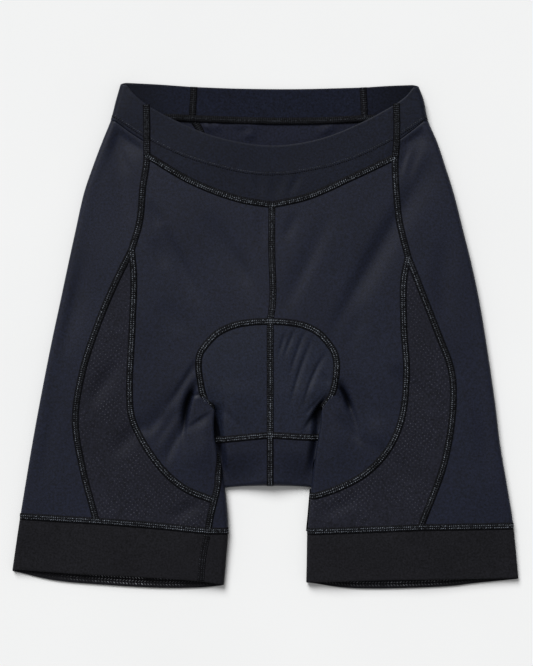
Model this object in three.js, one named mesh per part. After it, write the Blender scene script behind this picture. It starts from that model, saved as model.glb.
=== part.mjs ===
// A pair of cycling shorts laid flat on its back, in millimetres: waist at +Y, floor at Z = 0.
// The cloth is a flattened tube: a raised front sheet, a round fold down each side, a flat back sheet.
// Every sewn piece is one shell whose borders run along the seam lines named below.
// Seam lines are written for one side as `out`, the distance out from the middle line, and `y`.
import * as THREE from "three";

const SEAM_GAP = 0.3;
const CLOTH_WALL = 1.3;
const DOUBLED_WALL = 2.2;
const HEM_WALL = 1.6;
const BAND_LIFT = 0.4;
const MIDDLE_X = 4.5;
const BACK_MIDDLE_X = 12;
const GUSSET_UNDERLAP = 11;
const CROTCH_RADIUS = { middle: 5.2, side: 2.8 };
const GUSSET_SIDE_HEIGHT = 4.9;
const GUSSET_DIP_START = -60;
const GUSSET_DIP = { level: 2, left: 15, right: 10 };
const INSEAM_TURN = (2 / 3) * Math.PI;

// How many cells each stretch of seam is cut into.
const CELLS = {
  bandSeam: 3, yokeSide: 1, princess: 7, outer: 20, inner: 17, inseam: 3, centre: 7,
  shoulder: 6, archSide: 4, hidden: 3, hookEnd: 2, centreBack: 16, half: 7, side: 4,
  sideBack: 4, bandSide: 3, mesh: 6, gusset: 6, back: 6, fold: 6, lower: 4, wrap: 7, hem: 4,
};

const CLOTH = { navy: 0x232632, mesh: 0x212129, elastic: 0x1c1c1f };

// Outline of the side folds: distance out on either side, and the fold's radius.
const SIDE_FOLD = table(["y", "left", "right", "radius"], [
  [235.5, 134.0, 141.0, 4.6],
  [220.0, 138.5, 147.0, 4.8],
  [203.0, 143.0, 150.5, 5.0],
  [180.5, 152.0, 160.0, 5.0],
  [156.5, 161.0, 168.0, 5.0],
  [132.5, 169.0, 175.5, 5.0],
  [99.0, 176.5, 184.0, 4.9],
  [67.0, 183.5, 192.0, 4.8],
  [34.0, 190.5, 199.0, 4.6],
  [-8.0, 199.5, 206.0, 4.5],
  [-59.0, 209.5, 213.5, 4.3],
  [-100.0, 217.0, 218.5, 4.1],
  [-138.5, 223.5, 225.0, 3.9],
  [-172.5, 229.0, 230.5, 3.6],
  [-222.0, 236.3, 235.5, 2.8],
]);

// Outline of the legs' inner folds. Above the crotch the front cloth hooks under at `top`.
const INNER_FOLD = table(["y", "left", "right", "radius", "top"], [
  [-66.0, 46.3, 51.8, 2.2, 10.6],
  [-78.0, 47.5, 51.5, 2.2, 10.8],
  [-93.5, 47.2, 49.5, 2.2, 10.7],
  [-105.0, 45.0, 47.5, 2.3, 10.5],
  [-120.5, 42.0, 45.0, 3.3, 10.1],
  [-130.0, 39.9, 43.6, 4.0, 9.8],
  [-141.0, 37.5, 42.5, 4.7, 9.4],
  [-165.5, 35.0, 40.5, 4.5, 9.0],
  [-182.0, 34.5, 39.0, 4.4, 8.8],
  [-208.0, 36.5, 38.5, 4.1, 8.2],
  [-231.5, 38.5, 38.0, 3.6, 7.2],
]);

// Height of the front sheet over the middle of each leg and over the middle line.
const FRONT_LEVEL = table(["y", "leg", "middle"], [
  [236.0, 9.6, 9.2],
  [177.0, 9.9, 9.4],
  [122.0, 10.2, 10.0],
  [60.0, 10.4, 11.0],
  [14.0, 10.4, 12.4],
  [-40.0, 10.2, 13.2],
  [-91.5, 9.8, 12.0],
  [-141.0, 9.4, 10.4],
  [-182.0, 9.2, 9.6],
  [-236.0, 8.6, 8.6],
]);

// Largest soft folds of the front sheet, each along a bent line. A negative rise is a trough.
const SOFT_FOLDS = table(["x0", "y0", "x1", "y1", "x2", "y2", "width", "rise"], [
  [155, 164, 98, 74, 62, 1, 9, -1.9],
  [-58, 114, -36, 85, -8, 31, 9, -1.0],
  [60, 114, 37, 62, 16, 22, 9, -1.1],
  [-144, 198, -139, 160, -124, 106, 8, -0.9],
  [-139, -34, -150, -48, -161, -60, 8, -0.8],
  [-112, -84, -124, -96, -136, -110, 8, -0.8],
  [95, -88, 108, -92, 120, -84, 12, 0.8],
]);

// How far the front cloth turns under at each leg's inner edge: turn in degrees, then a flat lap.
const HOOK = table(["y", "turn", "lap"], [
  [-66, 20, 0],
  [-78, 120, 0],
  [-91, 180, 4.5],
  [-105, 180, 4.5],
  [-117, 180, 1.5],
  [-130, 180, 0],
]);

// The left leg's inseam, which shows on the front beside the inner fold.
const LEFT_INSEAM = table(["y", "out"], [
  [-130.0, 43.9],
  [-140.0, 44.5],
  [-152.5, 47.5],
  [-165.0, 50.5],
  [-180.8, 53.4],
  [-205.0, 58.0],
  [-227.5, 60.0],
]);

// Lines across the whole front, and the back of the waist, in x and y.
const FRONT_TOP = [[-110.5, 215], [-89.5, 203.5], [-47, 186], [4.5, 177.5], [50, 183.5], [92, 200], [121.5, 216]];
const YOKE_SEAM = {
  left: [[-110, 168], [-68, 143.5], [-25.5, 127.5], [6, 122]],
  right: [[120.5, 166.5], [81.5, 148], [39, 129.5], [6, 122]],
};
const BACK_TOP = [[-66.5, 232.5], [-25.5, 231], [28.5, 230.5], [91, 232]];
const CENTRE_FRONT = [[6, 122], [6, 76.5], [7, 36], [MIDDLE_X, 14]];
const CENTRE_ARCH = [[MIDDLE_X, 14], [MIDDLE_X, -40], [MIDDLE_X, -91.5]];
const CENTRE_BACK = [[BACK_MIDDLE_X, 200.5], [10, 110], [6, 0], [MIDDLE_X, -128]];

// Seam lines of either side, each point as out and y.
const SEAMS = {
  left: {
    bandSeam: [[110.5, 215], [110, 195], [110, 179]],
    yokeSide: [[110, 179], [110, 168]],
    princess: [[110, 168], [110.5, 158], [113.5, 140], [116.5, 107], [124, 80.5]],
    outer: [[124, 80.5], [140, 48], [157, 7], [170, -34], [176.5, -78], [170, -121.5], [157, -171.5]],
    inner: [[124, 80.5], [122, 54], [123.5, 8.5], [126, -50], [124, -75], [114.5, -96.5], [95, -124], [75, -141],
      [47.5, -152.5]],
    shoulder: [[-MIDDLE_X, 14], [14, 13], [29.5, 10], [45, 2.5], [54.5, -7]],
    archSide: [[54.5, -7], [60.5, -16], [62, -25], [60.5, -40.5], [56.5, -57], [48.5, -67.5]],
    gussetSide: [[48.5, -67.5], [54, -81.5], [55, -97.5]],
    lowerSide: [[55, -97.5], [49, -108], [42.3, -117], [40.2, -126], [37.5, -138]],
    gussetSeam: [[55, -97.5], [26.5, -94.5], [-MIDDLE_X, -91.5]],
    backPrincess: [[68, 203], [60, 190], [58, 160], [66, 110], [84, 50], [104, -20], [116, -90], [120, -172]],
    backBand: [[66.5, 232.5], [68, 203]],
    backSeam: [[68, 203], [27, 201.5], [-BACK_MIDDLE_X, 200.5]],
    bandTop: [[110.5, 215], [120.5, 223.5], [129.3, 233.6]],
    bandTopBack: [[129, 236.4], [100, 234.9], [66.5, 232.5]],
    bandEdge: [[110, 179], [126, 189.5], [139.3, 199.5]],
    bandEdgeBack: [[137.8, 203.4], [89.5, 204], [68, 203]],
    hemSide: [[157, -171.5], [190, -169.6], [224.7, -167.5]],
    hemMesh: [[157, -171.5], [100, -176], [53.4, -180.8]],
    hemBack: [[224.8, -168], [170, -169.5], [120, -172]],
    hemBackInner: [[120, -172], [79.5, -176.5], [38.9, -180.8]],
    edgeFront: [[60, -227.5], [120, -223.5], [172.5, -221], [232.4, -217.2]],
    edgeBack: [[232.7, -219.5], [197, -227.5], [147, -232], [97.5, -234.6], [60, -234.2], [42, -232.6]],
  },
  right: {
    bandSeam: [[121.5, 216], [122, 198], [121.7, 180]],
    yokeSide: [[121.7, 180], [120.5, 166.5]],
    princess: [[120.5, 166.5], [120.5, 150], [124.5, 107], [132.5, 73.5]],
    outer: [[132.5, 73.5], [145.5, 40.5], [160.5, 2], [172.5, -31], [174.5, -62], [166.5, -116], [144, -177.5]],
    inner: [[132.5, 73.5], [128.5, 52.5], [128.5, 8.5], [131, -36], [126, -78], [113, -106.5], [92, -128],
      [66.5, -141.5], [46.8, -148.3]],
    shoulder: [[MIDDLE_X, 14], [20.5, 13], [36, 10], [49, 3.5], [57.5, -5]],
    archSide: [[57.5, -5], [64, -15], [66, -25], [65, -40.5], [61, -55.5], [54, -65.5]],
    gussetSide: [[54, -65.5], [58.5, -81.5], [57.5, -94.5]],
    lowerSide: [[57.5, -94.5], [52, -107], [45.3, -116], [43.7, -126], [42.2, -138]],
    gussetSeam: [[57.5, -94.5], [27.5, -93], [MIDDLE_X, -91.5]],
    backPrincess: [[92.5, 203], [86, 190], [82, 160], [86, 110], [98, 50], [112, -20], [120, -90], [122, -176]],
    backBand: [[91, 232], [92.5, 203]],
    backSeam: [[92.5, 203], [51, 201], [BACK_MIDDLE_X, 200.5]],
    bandTop: [[121.5, 216], [130.5, 223], [137.5, 231.2]],
    bandTopBack: [[136.6, 234.4], [114, 233.5], [91, 232]],
    bandEdge: [[121.7, 180], [134.5, 189.5], [147, 199.5]],
    bandEdgeBack: [[145.4, 203.2], [110, 203.4], [92.5, 203]],
    hemSide: [[144, -177.5], [190, -177], [227.1, -176.4]],
    hemMesh: [[144, -177.5], [95, -179.5], [43.4, -181.3]],
    hemBack: [[227.2, -176.8], [170, -176], [122, -176]],
    hemBackInner: [[122, -176], [80, -179], [43.4, -181.3]],
    edgeFront: [[42, -228.8], [119.5, -226.5], [172, -226], [233.2, -225]],
    edgeBack: [[233.4, -226.4], [194, -230.4], [172, -233], [101, -235.3], [72, -234.2], [42, -229.8]],
  },
};

// Rows of figures under named columns.
function table(columns, rows) {
  return rows.map((row) => Object.fromEntries(columns.map((name, i) => [name, row[i]])));
}

// A column of a table at height y: smooth between its rows, straight beyond its ends.
function lookUp(rows, name, y) {
  const last = rows.length - 2;
  let i = rows.findIndex((row, n) => n > 0 && row.y <= y) - 1;
  i = i < 0 ? last : Math.min(i, last);
  const slope = (n) => {
    const a = rows[Math.max(n - 1, 0)];
    const b = rows[Math.min(n + 1, rows.length - 1)];
    return (b[name] - a[name]) / (b.y - a.y);
  };
  const span = rows[i + 1].y - rows[i].y;
  const t = (y - rows[i].y) / span;
  if (t < 0) return rows[i][name] + (y - rows[i].y) * slope(i);
  if (t > 1) return rows[i + 1][name] + (y - rows[i + 1].y) * slope(i + 1);
  return (
    rows[i][name] * (2 * t ** 3 - 3 * t ** 2 + 1) +
    slope(i) * span * (t ** 3 - 2 * t ** 2 + t) +
    rows[i + 1][name] * (3 * t ** 2 - 2 * t ** 3) +
    slope(i + 1) * span * (t ** 3 - t ** 2)
  );
}

const mix = (a, b, t) => a + (b - a) * t;
const ease = (t) => THREE.MathUtils.smoothstep(t, 0, 1);
const signOf = (side) => (side === "left" ? -1 : 1);

// Points spaced evenly along a smooth line through the given ones.
function line(points, cells) {
  const curve = new THREE.CatmullRomCurve3(points.map(([x, y]) => new THREE.Vector3(x, y, 0)));
  return curve.getSpacedPoints(cells);
}

// A seam line of one side, turned from out and y into x and y.
function seam(side, name, cells) {
  return line(SEAMS[side][name].map(([out, y]) => [signOf(side) * out, y]), cells);
}

// Joins lines that follow one another, leaving out the points they share.
function chain(...lines) {
  return lines.flatMap((points, i) => (i ? points.slice(1) : points));
}

const backwards = (points) => [...points].reverse();

function softFoldRise(x, y) {
  return SOFT_FOLDS.reduce((sum, fold) => {
    const steps = 8;
    let nearest = Infinity;
    let along = 0;
    for (let i = 0; i <= steps; i++) {
      const t = i / steps;
      const px = (1 - t) ** 2 * fold.x0 + 2 * t * (1 - t) * fold.x1 + t ** 2 * fold.x2;
      const py = (1 - t) ** 2 * fold.y0 + 2 * t * (1 - t) * fold.y1 + t ** 2 * fold.y2;
      const distance = Math.hypot(x - px, y - py);
      if (distance < nearest) {
        nearest = distance;
        along = t;
      }
    }
    const fade = ease(Math.min(along, 1 - along) * 4 + 0.15);
    return sum + fold.rise * fade * Math.exp(-((nearest / fold.width) ** 2));
  }, 0);
}

// Height of the front sheet's outer face above the floor.
function frontHeight(x, y) {
  const side = x < 0 ? "left" : "right";
  const out = Math.abs(x);
  const edge = lookUp(SIDE_FOLD, side, y);
  const radius = lookUp(SIDE_FOLD, "radius", y);
  const leg = lookUp(FRONT_LEVEL, "leg", y);
  const crown = 0.55 * edge;
  let height =
    out < crown
      ? mix(lookUp(FRONT_LEVEL, "middle", y), leg, ease(out / crown))
      : mix(leg, 2 * radius, ease((out - crown) / (edge - radius - crown)));
  height += softFoldRise(x, y) * ease((edge - radius - out) / 12);
  if (y < INNER_FOLD[0].y + 20) {
    const inner = lookUp(INNER_FOLD, side, y) + lookUp(INNER_FOLD, "radius", y);
    const near = 1 - ease((out - inner) / 25);
    const below = ease((INNER_FOLD[0].y + 20 - y) / 20);
    height = mix(height, lookUp(INNER_FOLD, "top", y), near * below);
  }
  return height;
}

const crotchY = (x) => -139 - (x - MIDDLE_X) ** 2 / 900;
const crotchRadius = (x) =>
  mix(CROTCH_RADIUS.middle, CROTCH_RADIUS.side, ease(Math.abs(x - MIDDLE_X) / 36));

// Height of the gusset: it swells between the legs, dips under their hooked edges and meets the
// crotch fold below.
function gussetHeight(x, y) {
  const side = x < 0 ? "left" : "right";
  const inside = lookUp(INNER_FOLD, side, Math.min(y, INNER_FOLD[0].y)) - Math.abs(x);
  const below = ease((GUSSET_DIP_START - y) / 14);
  const dip = below * (1 - ease((inside - GUSSET_DIP.level) / GUSSET_DIP[side]));
  const swell = ease((inside + 6) / 24) * ease((GUSSET_DIP_START + 22 - y) / 16);
  const flat = mix(frontHeight(x, y), lookUp(FRONT_LEVEL, "middle", y), swell);
  const height = mix(flat, GUSSET_SIDE_HEIGHT, dip);
  const radius = crotchRadius(x);
  return mix(2 * radius, height, ease((y - crotchY(x) - radius) / 30));
}

const front = ({ x, y }) => new THREE.Vector3(x, y, frontHeight(x, y));
const gusset = ({ x, y }) => new THREE.Vector3(x, y, gussetHeight(x, y));
const floor = ({ x, y }) => new THREE.Vector3(x, y, 0);

// A point on a side fold; the turn runs from 0 at its top to pi at the floor.
function sideFold(side, y, turn) {
  const radius = lookUp(SIDE_FOLD, "radius", y);
  const out = lookUp(SIDE_FOLD, side, y) - radius + radius * Math.sin(turn);
  return new THREE.Vector3(signOf(side) * out, y, radius + radius * Math.cos(turn));
}

// A point on the path that runs in over a leg's front, round its inner fold and back out below.
function innerPath(side, y, along) {
  const radius = lookUp(INNER_FOLD, "radius", y);
  const start = lookUp(INNER_FOLD, side, y) + radius;
  const top = lookUp(INNER_FOLD, "top", y);
  const arc = Math.PI * radius;
  if (along < 0) return front({ x: signOf(side) * (start - along), y });
  if (along > arc) {
    const out = start + along - arc;
    return new THREE.Vector3(signOf(side) * out, y, Math.max(top - 2 * radius, 0));
  }
  const turn = along / radius;
  const out = start - radius * Math.sin(turn);
  return new THREE.Vector3(signOf(side) * out, y, Math.max(top - radius + radius * Math.cos(turn), 0));
}

// The line along which a leg's front meets its inner fold, at the given heights.
function innerTangent(side, heights) {
  return heights.map((y) => {
    const out = lookUp(INNER_FOLD, side, y) + lookUp(INNER_FOLD, "radius", y);
    return new THREE.Vector3(signOf(side) * out, y, 0);
  });
}

// The inseam's column of points: on the front of the left leg, on the right one where its fold starts.
function inseamLine(side, heights) {
  if (side === "right") return innerTangent(side, heights);
  return heights.map((y) => new THREE.Vector3(-lookUp(LEFT_INSEAM, "out", y), y, 0));
}

// Where the inseam lies on the inner path: on the front of the left leg, on the fold of the right.
function inseamAlong(side, y) {
  const radius = lookUp(INNER_FOLD, "radius", y);
  if (side === "right") return INSEAM_TURN * radius;
  return lookUp(INNER_FOLD, side, y) + radius - lookUp(LEFT_INSEAM, "out", y);
}

const spread = (from, to, cells) => Array.from({ length: cells + 1 }, (_, i) => mix(from, to, i / cells));

// A patch between four borders: left and right run down, top and bottom run from left to right.
function patch({ left, right, top, bottom }, surface, facing) {
  const rows = left.map((_, j) => {
    const t = j / (left.length - 1);
    return top.map((_, i) => {
      const s = i / (top.length - 1);
      const place = (name) => {
        const sides = mix(left[j][name], right[j][name], s) + mix(top[i][name], bottom[i][name], t);
        const corners = mix(
          mix(top[0][name], top.at(-1)[name], s),
          mix(bottom[0][name], bottom.at(-1)[name], s),
          t,
        );
        return sides - corners;
      };
      return surface({ x: place("x"), y: place("y") });
    });
  });
  return { rows, facing };
}

// A patch round a side fold, one row for each pair of heights at its front and its back.
function sidePatch(side, frontYs, backYs) {
  const rows = frontYs.map((y, j) =>
    spread(0, Math.PI, CELLS.fold).map((turn) => sideFold(side, mix(y, backYs[j], turn / Math.PI), turn)),
  );
  return { rows, facing: new THREE.Vector3(signOf(side), 0, 0) };
}

// A patch along the inner path between two distances, each row from one height to another.
function innerPatch(side, heights, endHeights, from, to) {
  const rows = heights.map((y, j) => {
    const start = from(y);
    const end = to(endHeights[j]);
    return spread(0, 1, CELLS.wrap).map((t) =>
      innerPath(side, mix(y, endHeights[j], t), mix(start, end, t)),
    );
  });
  return { rows, facing: new THREE.Vector3(-signOf(side), 0, 0) };
}

const UP = new THREE.Vector3(0, 0, 1);
const DOWN = new THREE.Vector3(0, 0, -1);

// Lays the patches of a piece out as one sheet, whose triangles all face outwards.
function sheetOf(patches) {
  const points = [];
  const walls = [];
  const seen = new Map();
  const add = (point, wall) => {
    const key = point.toArray().map((v) => Math.round(v * 500)).join();
    if (!seen.has(key)) {
      seen.set(key, points.length);
      points.push(point.clone());
      walls.push(wall);
    }
    return seen.get(key);
  };
  const triangles = [];
  for (const { rows, facing, walls: rowWalls = [] } of patches) {
    rows.forEach((row, j) => row.forEach((point) => add(point, rowWalls[j])));
    const found = [];
    for (let j = 1; j < rows.length; j++) {
      for (let i = 1; i < rows[j].length; i++) {
        const corners = [rows[j - 1][i - 1], rows[j][i - 1], rows[j][i], rows[j - 1][i]];
        const [a, b, c, d] = corners.map((corner) => add(corner));
        found.push([a, b, c], [a, c, d]);
      }
    }
    const kept = found.filter(([a, b, c]) => a !== b && b !== c && c !== a);
    const turned = kept.reduce((sum, t) => sum + areaNormal(points, t).dot(facing), 0);
    triangles.push(...(turned < 0 ? kept.map(([a, b, c]) => [a, c, b]) : kept));
  }
  return { points, walls, triangles };
}

function areaNormal(points, [a, b, c]) {
  const ab = points[b].clone().sub(points[a]);
  const ac = points[c].clone().sub(points[a]);
  return ab.cross(ac);
}

function pointNormals({ points, triangles }) {
  const normals = points.map(() => new THREE.Vector3());
  for (const triangle of triangles) {
    const normal = areaNormal(points, triangle);
    triangle.forEach((n) => normals[n].add(normal));
  }
  return normals.map((normal) => normal.normalize());
}

// The edges that only one triangle uses, each running with the sheet on its left.
function borderOf({ triangles }) {
  const edges = new Map();
  for (const [a, b, c] of triangles) {
    for (const [from, to] of [[a, b], [b, c], [c, a]]) edges.set(from + ">" + to, [from, to]);
  }
  return [...edges.values()].filter(([from, to]) => !edges.has(to + ">" + from));
}

// Draws the border in by half the seam gap.
function drawIn(sheet, normals, border) {
  const inward = new Map();
  for (const edge of border) {
    const along = sheet.points[edge[1]].clone().sub(sheet.points[edge[0]]).normalize();
    for (const n of edge) {
      const direction = normals[n].clone().cross(along).normalize();
      inward.set(n, [...(inward.get(n) ?? []), direction]);
    }
  }
  for (const [n, [first, second]] of inward) {
    const share = Math.max(1 + first.dot(second), 0.35);
    sheet.points[n].addScaledVector(first.clone().add(second), SEAM_GAP / 2 / share);
  }
}

// A closed shell of a sheet: its outer face, its inner face a wall below, and the cut edge between.
function shell(name, patches, { wall = CLOTH_WALL, lift = 0, colour = CLOTH.navy } = {}) {
  const sheet = sheetOf(patches);
  const normals = pointNormals(sheet);
  const border = borderOf(sheet);
  drawIn(sheet, normals, border);
  const count = sheet.points.length;
  const outer = sheet.points.map((point, n) => point.clone().addScaledVector(normals[n], lift));
  const inner = sheet.points.map((point, n) =>
    point.clone().addScaledVector(normals[n], lift - (sheet.walls[n] ?? wall)),
  );
  outer.forEach((point) => {
    point.z = Math.max(point.z, 0);
  });
  const index = sheet.triangles.flatMap(([a, b, c]) => [a, b, c, a + count, c + count, b + count]);
  for (const [from, to] of border) {
    index.push(to, from, from + count, to, from + count, to + count);
  }
  const geometry = new THREE.BufferGeometry().setFromPoints([...outer, ...inner]);
  geometry.setIndex(index);
  geometry.computeVertexNormals();
  const material = new THREE.MeshStandardMaterial({ color: colour, roughness: 0.75, metalness: 0 });
  const mesh = new THREE.Mesh(geometry, material);
  mesh.name = name;
  return mesh;
}

// Heights along a side fold that keep step with the rows of the seams on either side of it.
function foldHeights(first, second, from, to) {
  const share = (points, j) => (points[j].y - points[0].y) / (points.at(-1).y - points[0].y);
  return first.map((_, j) => mix(from, to, (share(first, j) + share(second, j)) / 2));
}

const sideTangent = (side, heights, turn) => heights.map((y) => sideFold(side, y, turn));

// The cloth of one side from a front seam, round the side fold, to a back seam.
function wrapSide(side, rows, top, bottom) {
  const fronts = foldHeights(rows.front, rows.back, top.front.at(-1).y, bottom.front.at(-1).y);
  const backs = foldHeights(rows.front, rows.back, top.back[0].y, bottom.back[0].y);
  return [
    patch(
      { left: rows.front, right: sideTangent(side, fronts, 0), top: top.front, bottom: bottom.front },
      front, UP,
    ),
    sidePatch(side, fronts, backs),
    patch(
      { left: sideTangent(side, backs, Math.PI), right: rows.back, top: top.back, bottom: bottom.back },
      floor, DOWN,
    ),
  ];
}

// Ends a line exactly on a side fold's tangent, so that the patches on both sides share it.
function meetFold(points, side, turn, last) {
  const n = last ? points.length - 1 : 0;
  return points.map((point, i) => (i === n ? sideFold(side, point.y, turn) : point));
}

const seamOnFold = (side, name, cells) => meetFold(seam(side, name, cells), side, 0, true);

// All seam lines of one side, as points.
function linesOf(side) {
  const of = (name, cells) => seam(side, name, cells);
  const hookYs = HOOK.map((row) => row.y);
  hookYs[0] = SEAMS[side].archSide.at(-1)[1];
  const innerEndY = SEAMS[side].inner.at(-1)[1];
  const hookEndYs = spread(hookYs.at(-1), innerEndY, CELLS.hookEnd);
  const hemInnerY = SEAMS[side].hemMesh.at(-1)[1];
  const inseamYs = spread(innerEndY, hemInnerY, CELLS.inseam);
  const underX = spread(signOf(side) * SEAMS[side].lowerSide.at(-1)[0], MIDDLE_X, CELLS.gusset);
  return {
    bandSeam: of("bandSeam", CELLS.bandSeam),
    yokeSide: of("yokeSide", CELLS.yokeSide),
    princess: of("princess", CELLS.princess),
    outer: of("outer", CELLS.outer),
    inner: of("inner", CELLS.inner),
    shoulder: of("shoulder", CELLS.shoulder),
    archSide: of("archSide", CELLS.archSide),
    gussetSide: of("gussetSide", CELLS.hidden),
    lowerSide: of("lowerSide", CELLS.lower),
    gussetSeam: of("gussetSeam", CELLS.gusset),
    backPrincess: of("backPrincess", CELLS.yokeSide + CELLS.princess + CELLS.outer),
    backBand: of("backBand", CELLS.bandSeam),
    backSeam: of("backSeam", CELLS.back),
    bandTop: seamOnFold(side, "bandTop", CELLS.bandSide),
    bandTopBack: meetFold(of("bandTopBack", CELLS.sideBack), side, Math.PI, false),
    bandEdge: seamOnFold(side, "bandEdge", CELLS.side),
    bandEdgeBack: meetFold(of("bandEdgeBack", CELLS.sideBack), side, Math.PI, false),
    hemSide: seamOnFold(side, "hemSide", CELLS.side),
    hemMesh: of("hemMesh", CELLS.mesh),
    hemBack: meetFold(of("hemBack", CELLS.sideBack), side, Math.PI, false),
    hemBackInner: of("hemBackInner", CELLS.back),
    yokeSeam: line(YOKE_SEAM[side], CELLS.half),
    hookYs,
    hookEndYs,
    inseamYs,
    legYs: [...hookEndYs, ...inseamYs.slice(1)],
    underX,
  };
}

function makeYoke(left, right) {
  const top = line(FRONT_TOP, 2 * CELLS.half);
  const bottom = chain(left.yokeSeam, backwards(right.yokeSeam));
  const sides = {
    left: chain(left.bandSeam, left.yokeSide),
    right: chain(right.bandSeam, right.yokeSide),
  };
  const sheet = patch({ ...sides, top, bottom }, front, UP);
  const walls = [DOUBLED_WALL, DOUBLED_WALL, DOUBLED_WALL, CLOTH_WALL, CLOTH_WALL];
  return shell("front_yoke", [{ ...sheet, walls }]);
}

function makeSide(side, lines) {
  const rows = { front: lines.bandSeam, back: lines.backBand };
  const top = { front: lines.bandTop, back: lines.bandTopBack };
  const bandEdge = seamOnFold(side, "bandEdge", CELLS.bandSide);
  const bottom = { front: bandEdge, back: lines.bandEdgeBack };
  const band = shell("waistband_side_" + side, wrapSide(side, rows, top, bottom), {
    wall: DOUBLED_WALL,
    lift: BAND_LIFT,
  });
  const panelRows = { front: chain(lines.yokeSide, lines.princess, lines.outer), back: lines.backPrincess };
  const panelTop = { front: lines.bandEdge, back: lines.bandEdgeBack };
  const panelBottom = { front: lines.hemSide, back: lines.hemBack };
  const panel = shell("side_panel_" + side, wrapSide(side, panelRows, panelTop, panelBottom));
  return [band, panel];
}

function makeFrontPanel(side, lines) {
  const left = chain(lines.princess, lines.inner);
  const right = chain(
    line(CENTRE_FRONT, CELLS.centre), lines.shoulder, lines.archSide,
    innerTangent(side, lines.hookYs), inseamLine(side, lines.hookEndYs),
  );
  const bottom = lines.yokeSeam.map(() => left.at(-1));
  const sheet = patch({ left, right, top: lines.yokeSeam, bottom }, front, UP);
  const turnEnd = (y) =>
    (lookUp(HOOK, "turn", y) * Math.PI * lookUp(INNER_FOLD, "radius", y)) / 180 + lookUp(HOOK, "lap", y);
  const patches = [sheet];
  if (side === "left") {
    patches.push(innerPatch(side, lines.hookYs, lines.hookYs, () => 0, turnEnd));
  } else {
    const rows = [...lines.hookYs, ...lines.hookEndYs.slice(1)];
    const last = lines.hookYs.at(-1);
    const end = (y) => (y > last ? turnEnd(y) : inseamAlong(side, y));
    patches.push(innerPatch(side, rows, rows, () => 0, end));
  }
  return shell("front_panel_" + side, patches);
}

function makeMeshPanel(side, lines) {
  const bottom = lines.hemMesh;
  const sheet = patch(
    {
      left: lines.outer,
      right: chain(lines.inner, inseamLine(side, lines.inseamYs)),
      top: bottom.map(() => lines.outer[0]),
      bottom,
    },
    front, UP,
  );
  const patches = [sheet];
  if (side === "right") {
    const ys = lines.inseamYs;
    patches.push(innerPatch(side, ys, ys, () => 0, (y) => inseamAlong(side, y)));
  }
  return shell("mesh_panel_" + side, patches, { colour: CLOTH.mesh });
}

// The line under the crotch where the gusset meets the back panel, from the side to the middle.
const underEdge = (lines) => lines.underX.map((x) => new THREE.Vector3(x, crotchY(x) + GUSSET_UNDERLAP, 0));

function makeGusset(side, lines) {
  const arch = patch(
    {
      left: chain(lines.archSide, lines.gussetSide),
      right: line(CENTRE_ARCH, CELLS.archSide + CELLS.hidden),
      top: backwards(lines.shoulder),
      bottom: lines.gussetSeam,
    },
    gusset, UP,
  );
  const tangent = lines.underX.map((x) => new THREE.Vector3(x, crotchY(x) + crotchRadius(x), 0));
  const lowerSide = [...lines.lowerSide.slice(0, -1), tangent[0]];
  const sheet = patch(
    {
      left: lowerSide,
      right: line([[MIDDLE_X, -91.5], [MIDDLE_X, tangent.at(-1).y]], CELLS.lower),
      top: lines.gussetSeam,
      bottom: tangent,
    },
    gusset, UP,
  );
  const fold = {
    rows: spread(0, Math.PI, CELLS.fold).map((turn) =>
      lines.underX.map((x) => {
        const radius = crotchRadius(x);
        const y = crotchY(x) + radius - radius * Math.sin(turn);
        return new THREE.Vector3(x, y, radius + radius * Math.cos(turn));
      }),
    ),
    facing: new THREE.Vector3(0, -1, 0),
  };
  const under = {
    rows: [tangent.map(floor), underEdge(lines).map(floor)],
    facing: DOWN,
  };
  return [
    shell("gusset_front_" + side, [arch]),
    shell("gusset_lower_" + side, [sheet, fold, under]),
  ];
}

function backPatches(side, lines) {
  const edge = backwards(underEdge(lines));
  const centre = line([...CENTRE_BACK.slice(0, -1), [edge[0].x, edge[0].y]], CELLS.centreBack);
  const tangent = innerTangent(side, lines.legYs);
  const bottom = [...lines.hemBackInner.slice(0, -1), tangent.at(-1)];
  const flat = patch(
    { left: lines.backPrincess, right: [...chain(centre, edge), ...tangent], top: lines.backSeam, bottom },
    floor, DOWN,
  );
  const round = (y) => Math.PI * lookUp(INNER_FOLD, "radius", y);
  const wrap = innerPatch(side, lines.legYs, lines.legYs, (y) => inseamAlong(side, y), round);
  return [flat, wrap];
}

function makeBackBand(left, right) {
  return shell(
    "waistband_back",
    [
      patch(
        {
          left: left.backBand,
          right: right.backBand,
          top: line(BACK_TOP, 2 * CELLS.back),
          bottom: chain(left.backSeam, backwards(right.backSeam)),
        },
        floor, DOWN,
      ),
    ],
    { wall: DOUBLED_WALL },
  );
}

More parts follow.
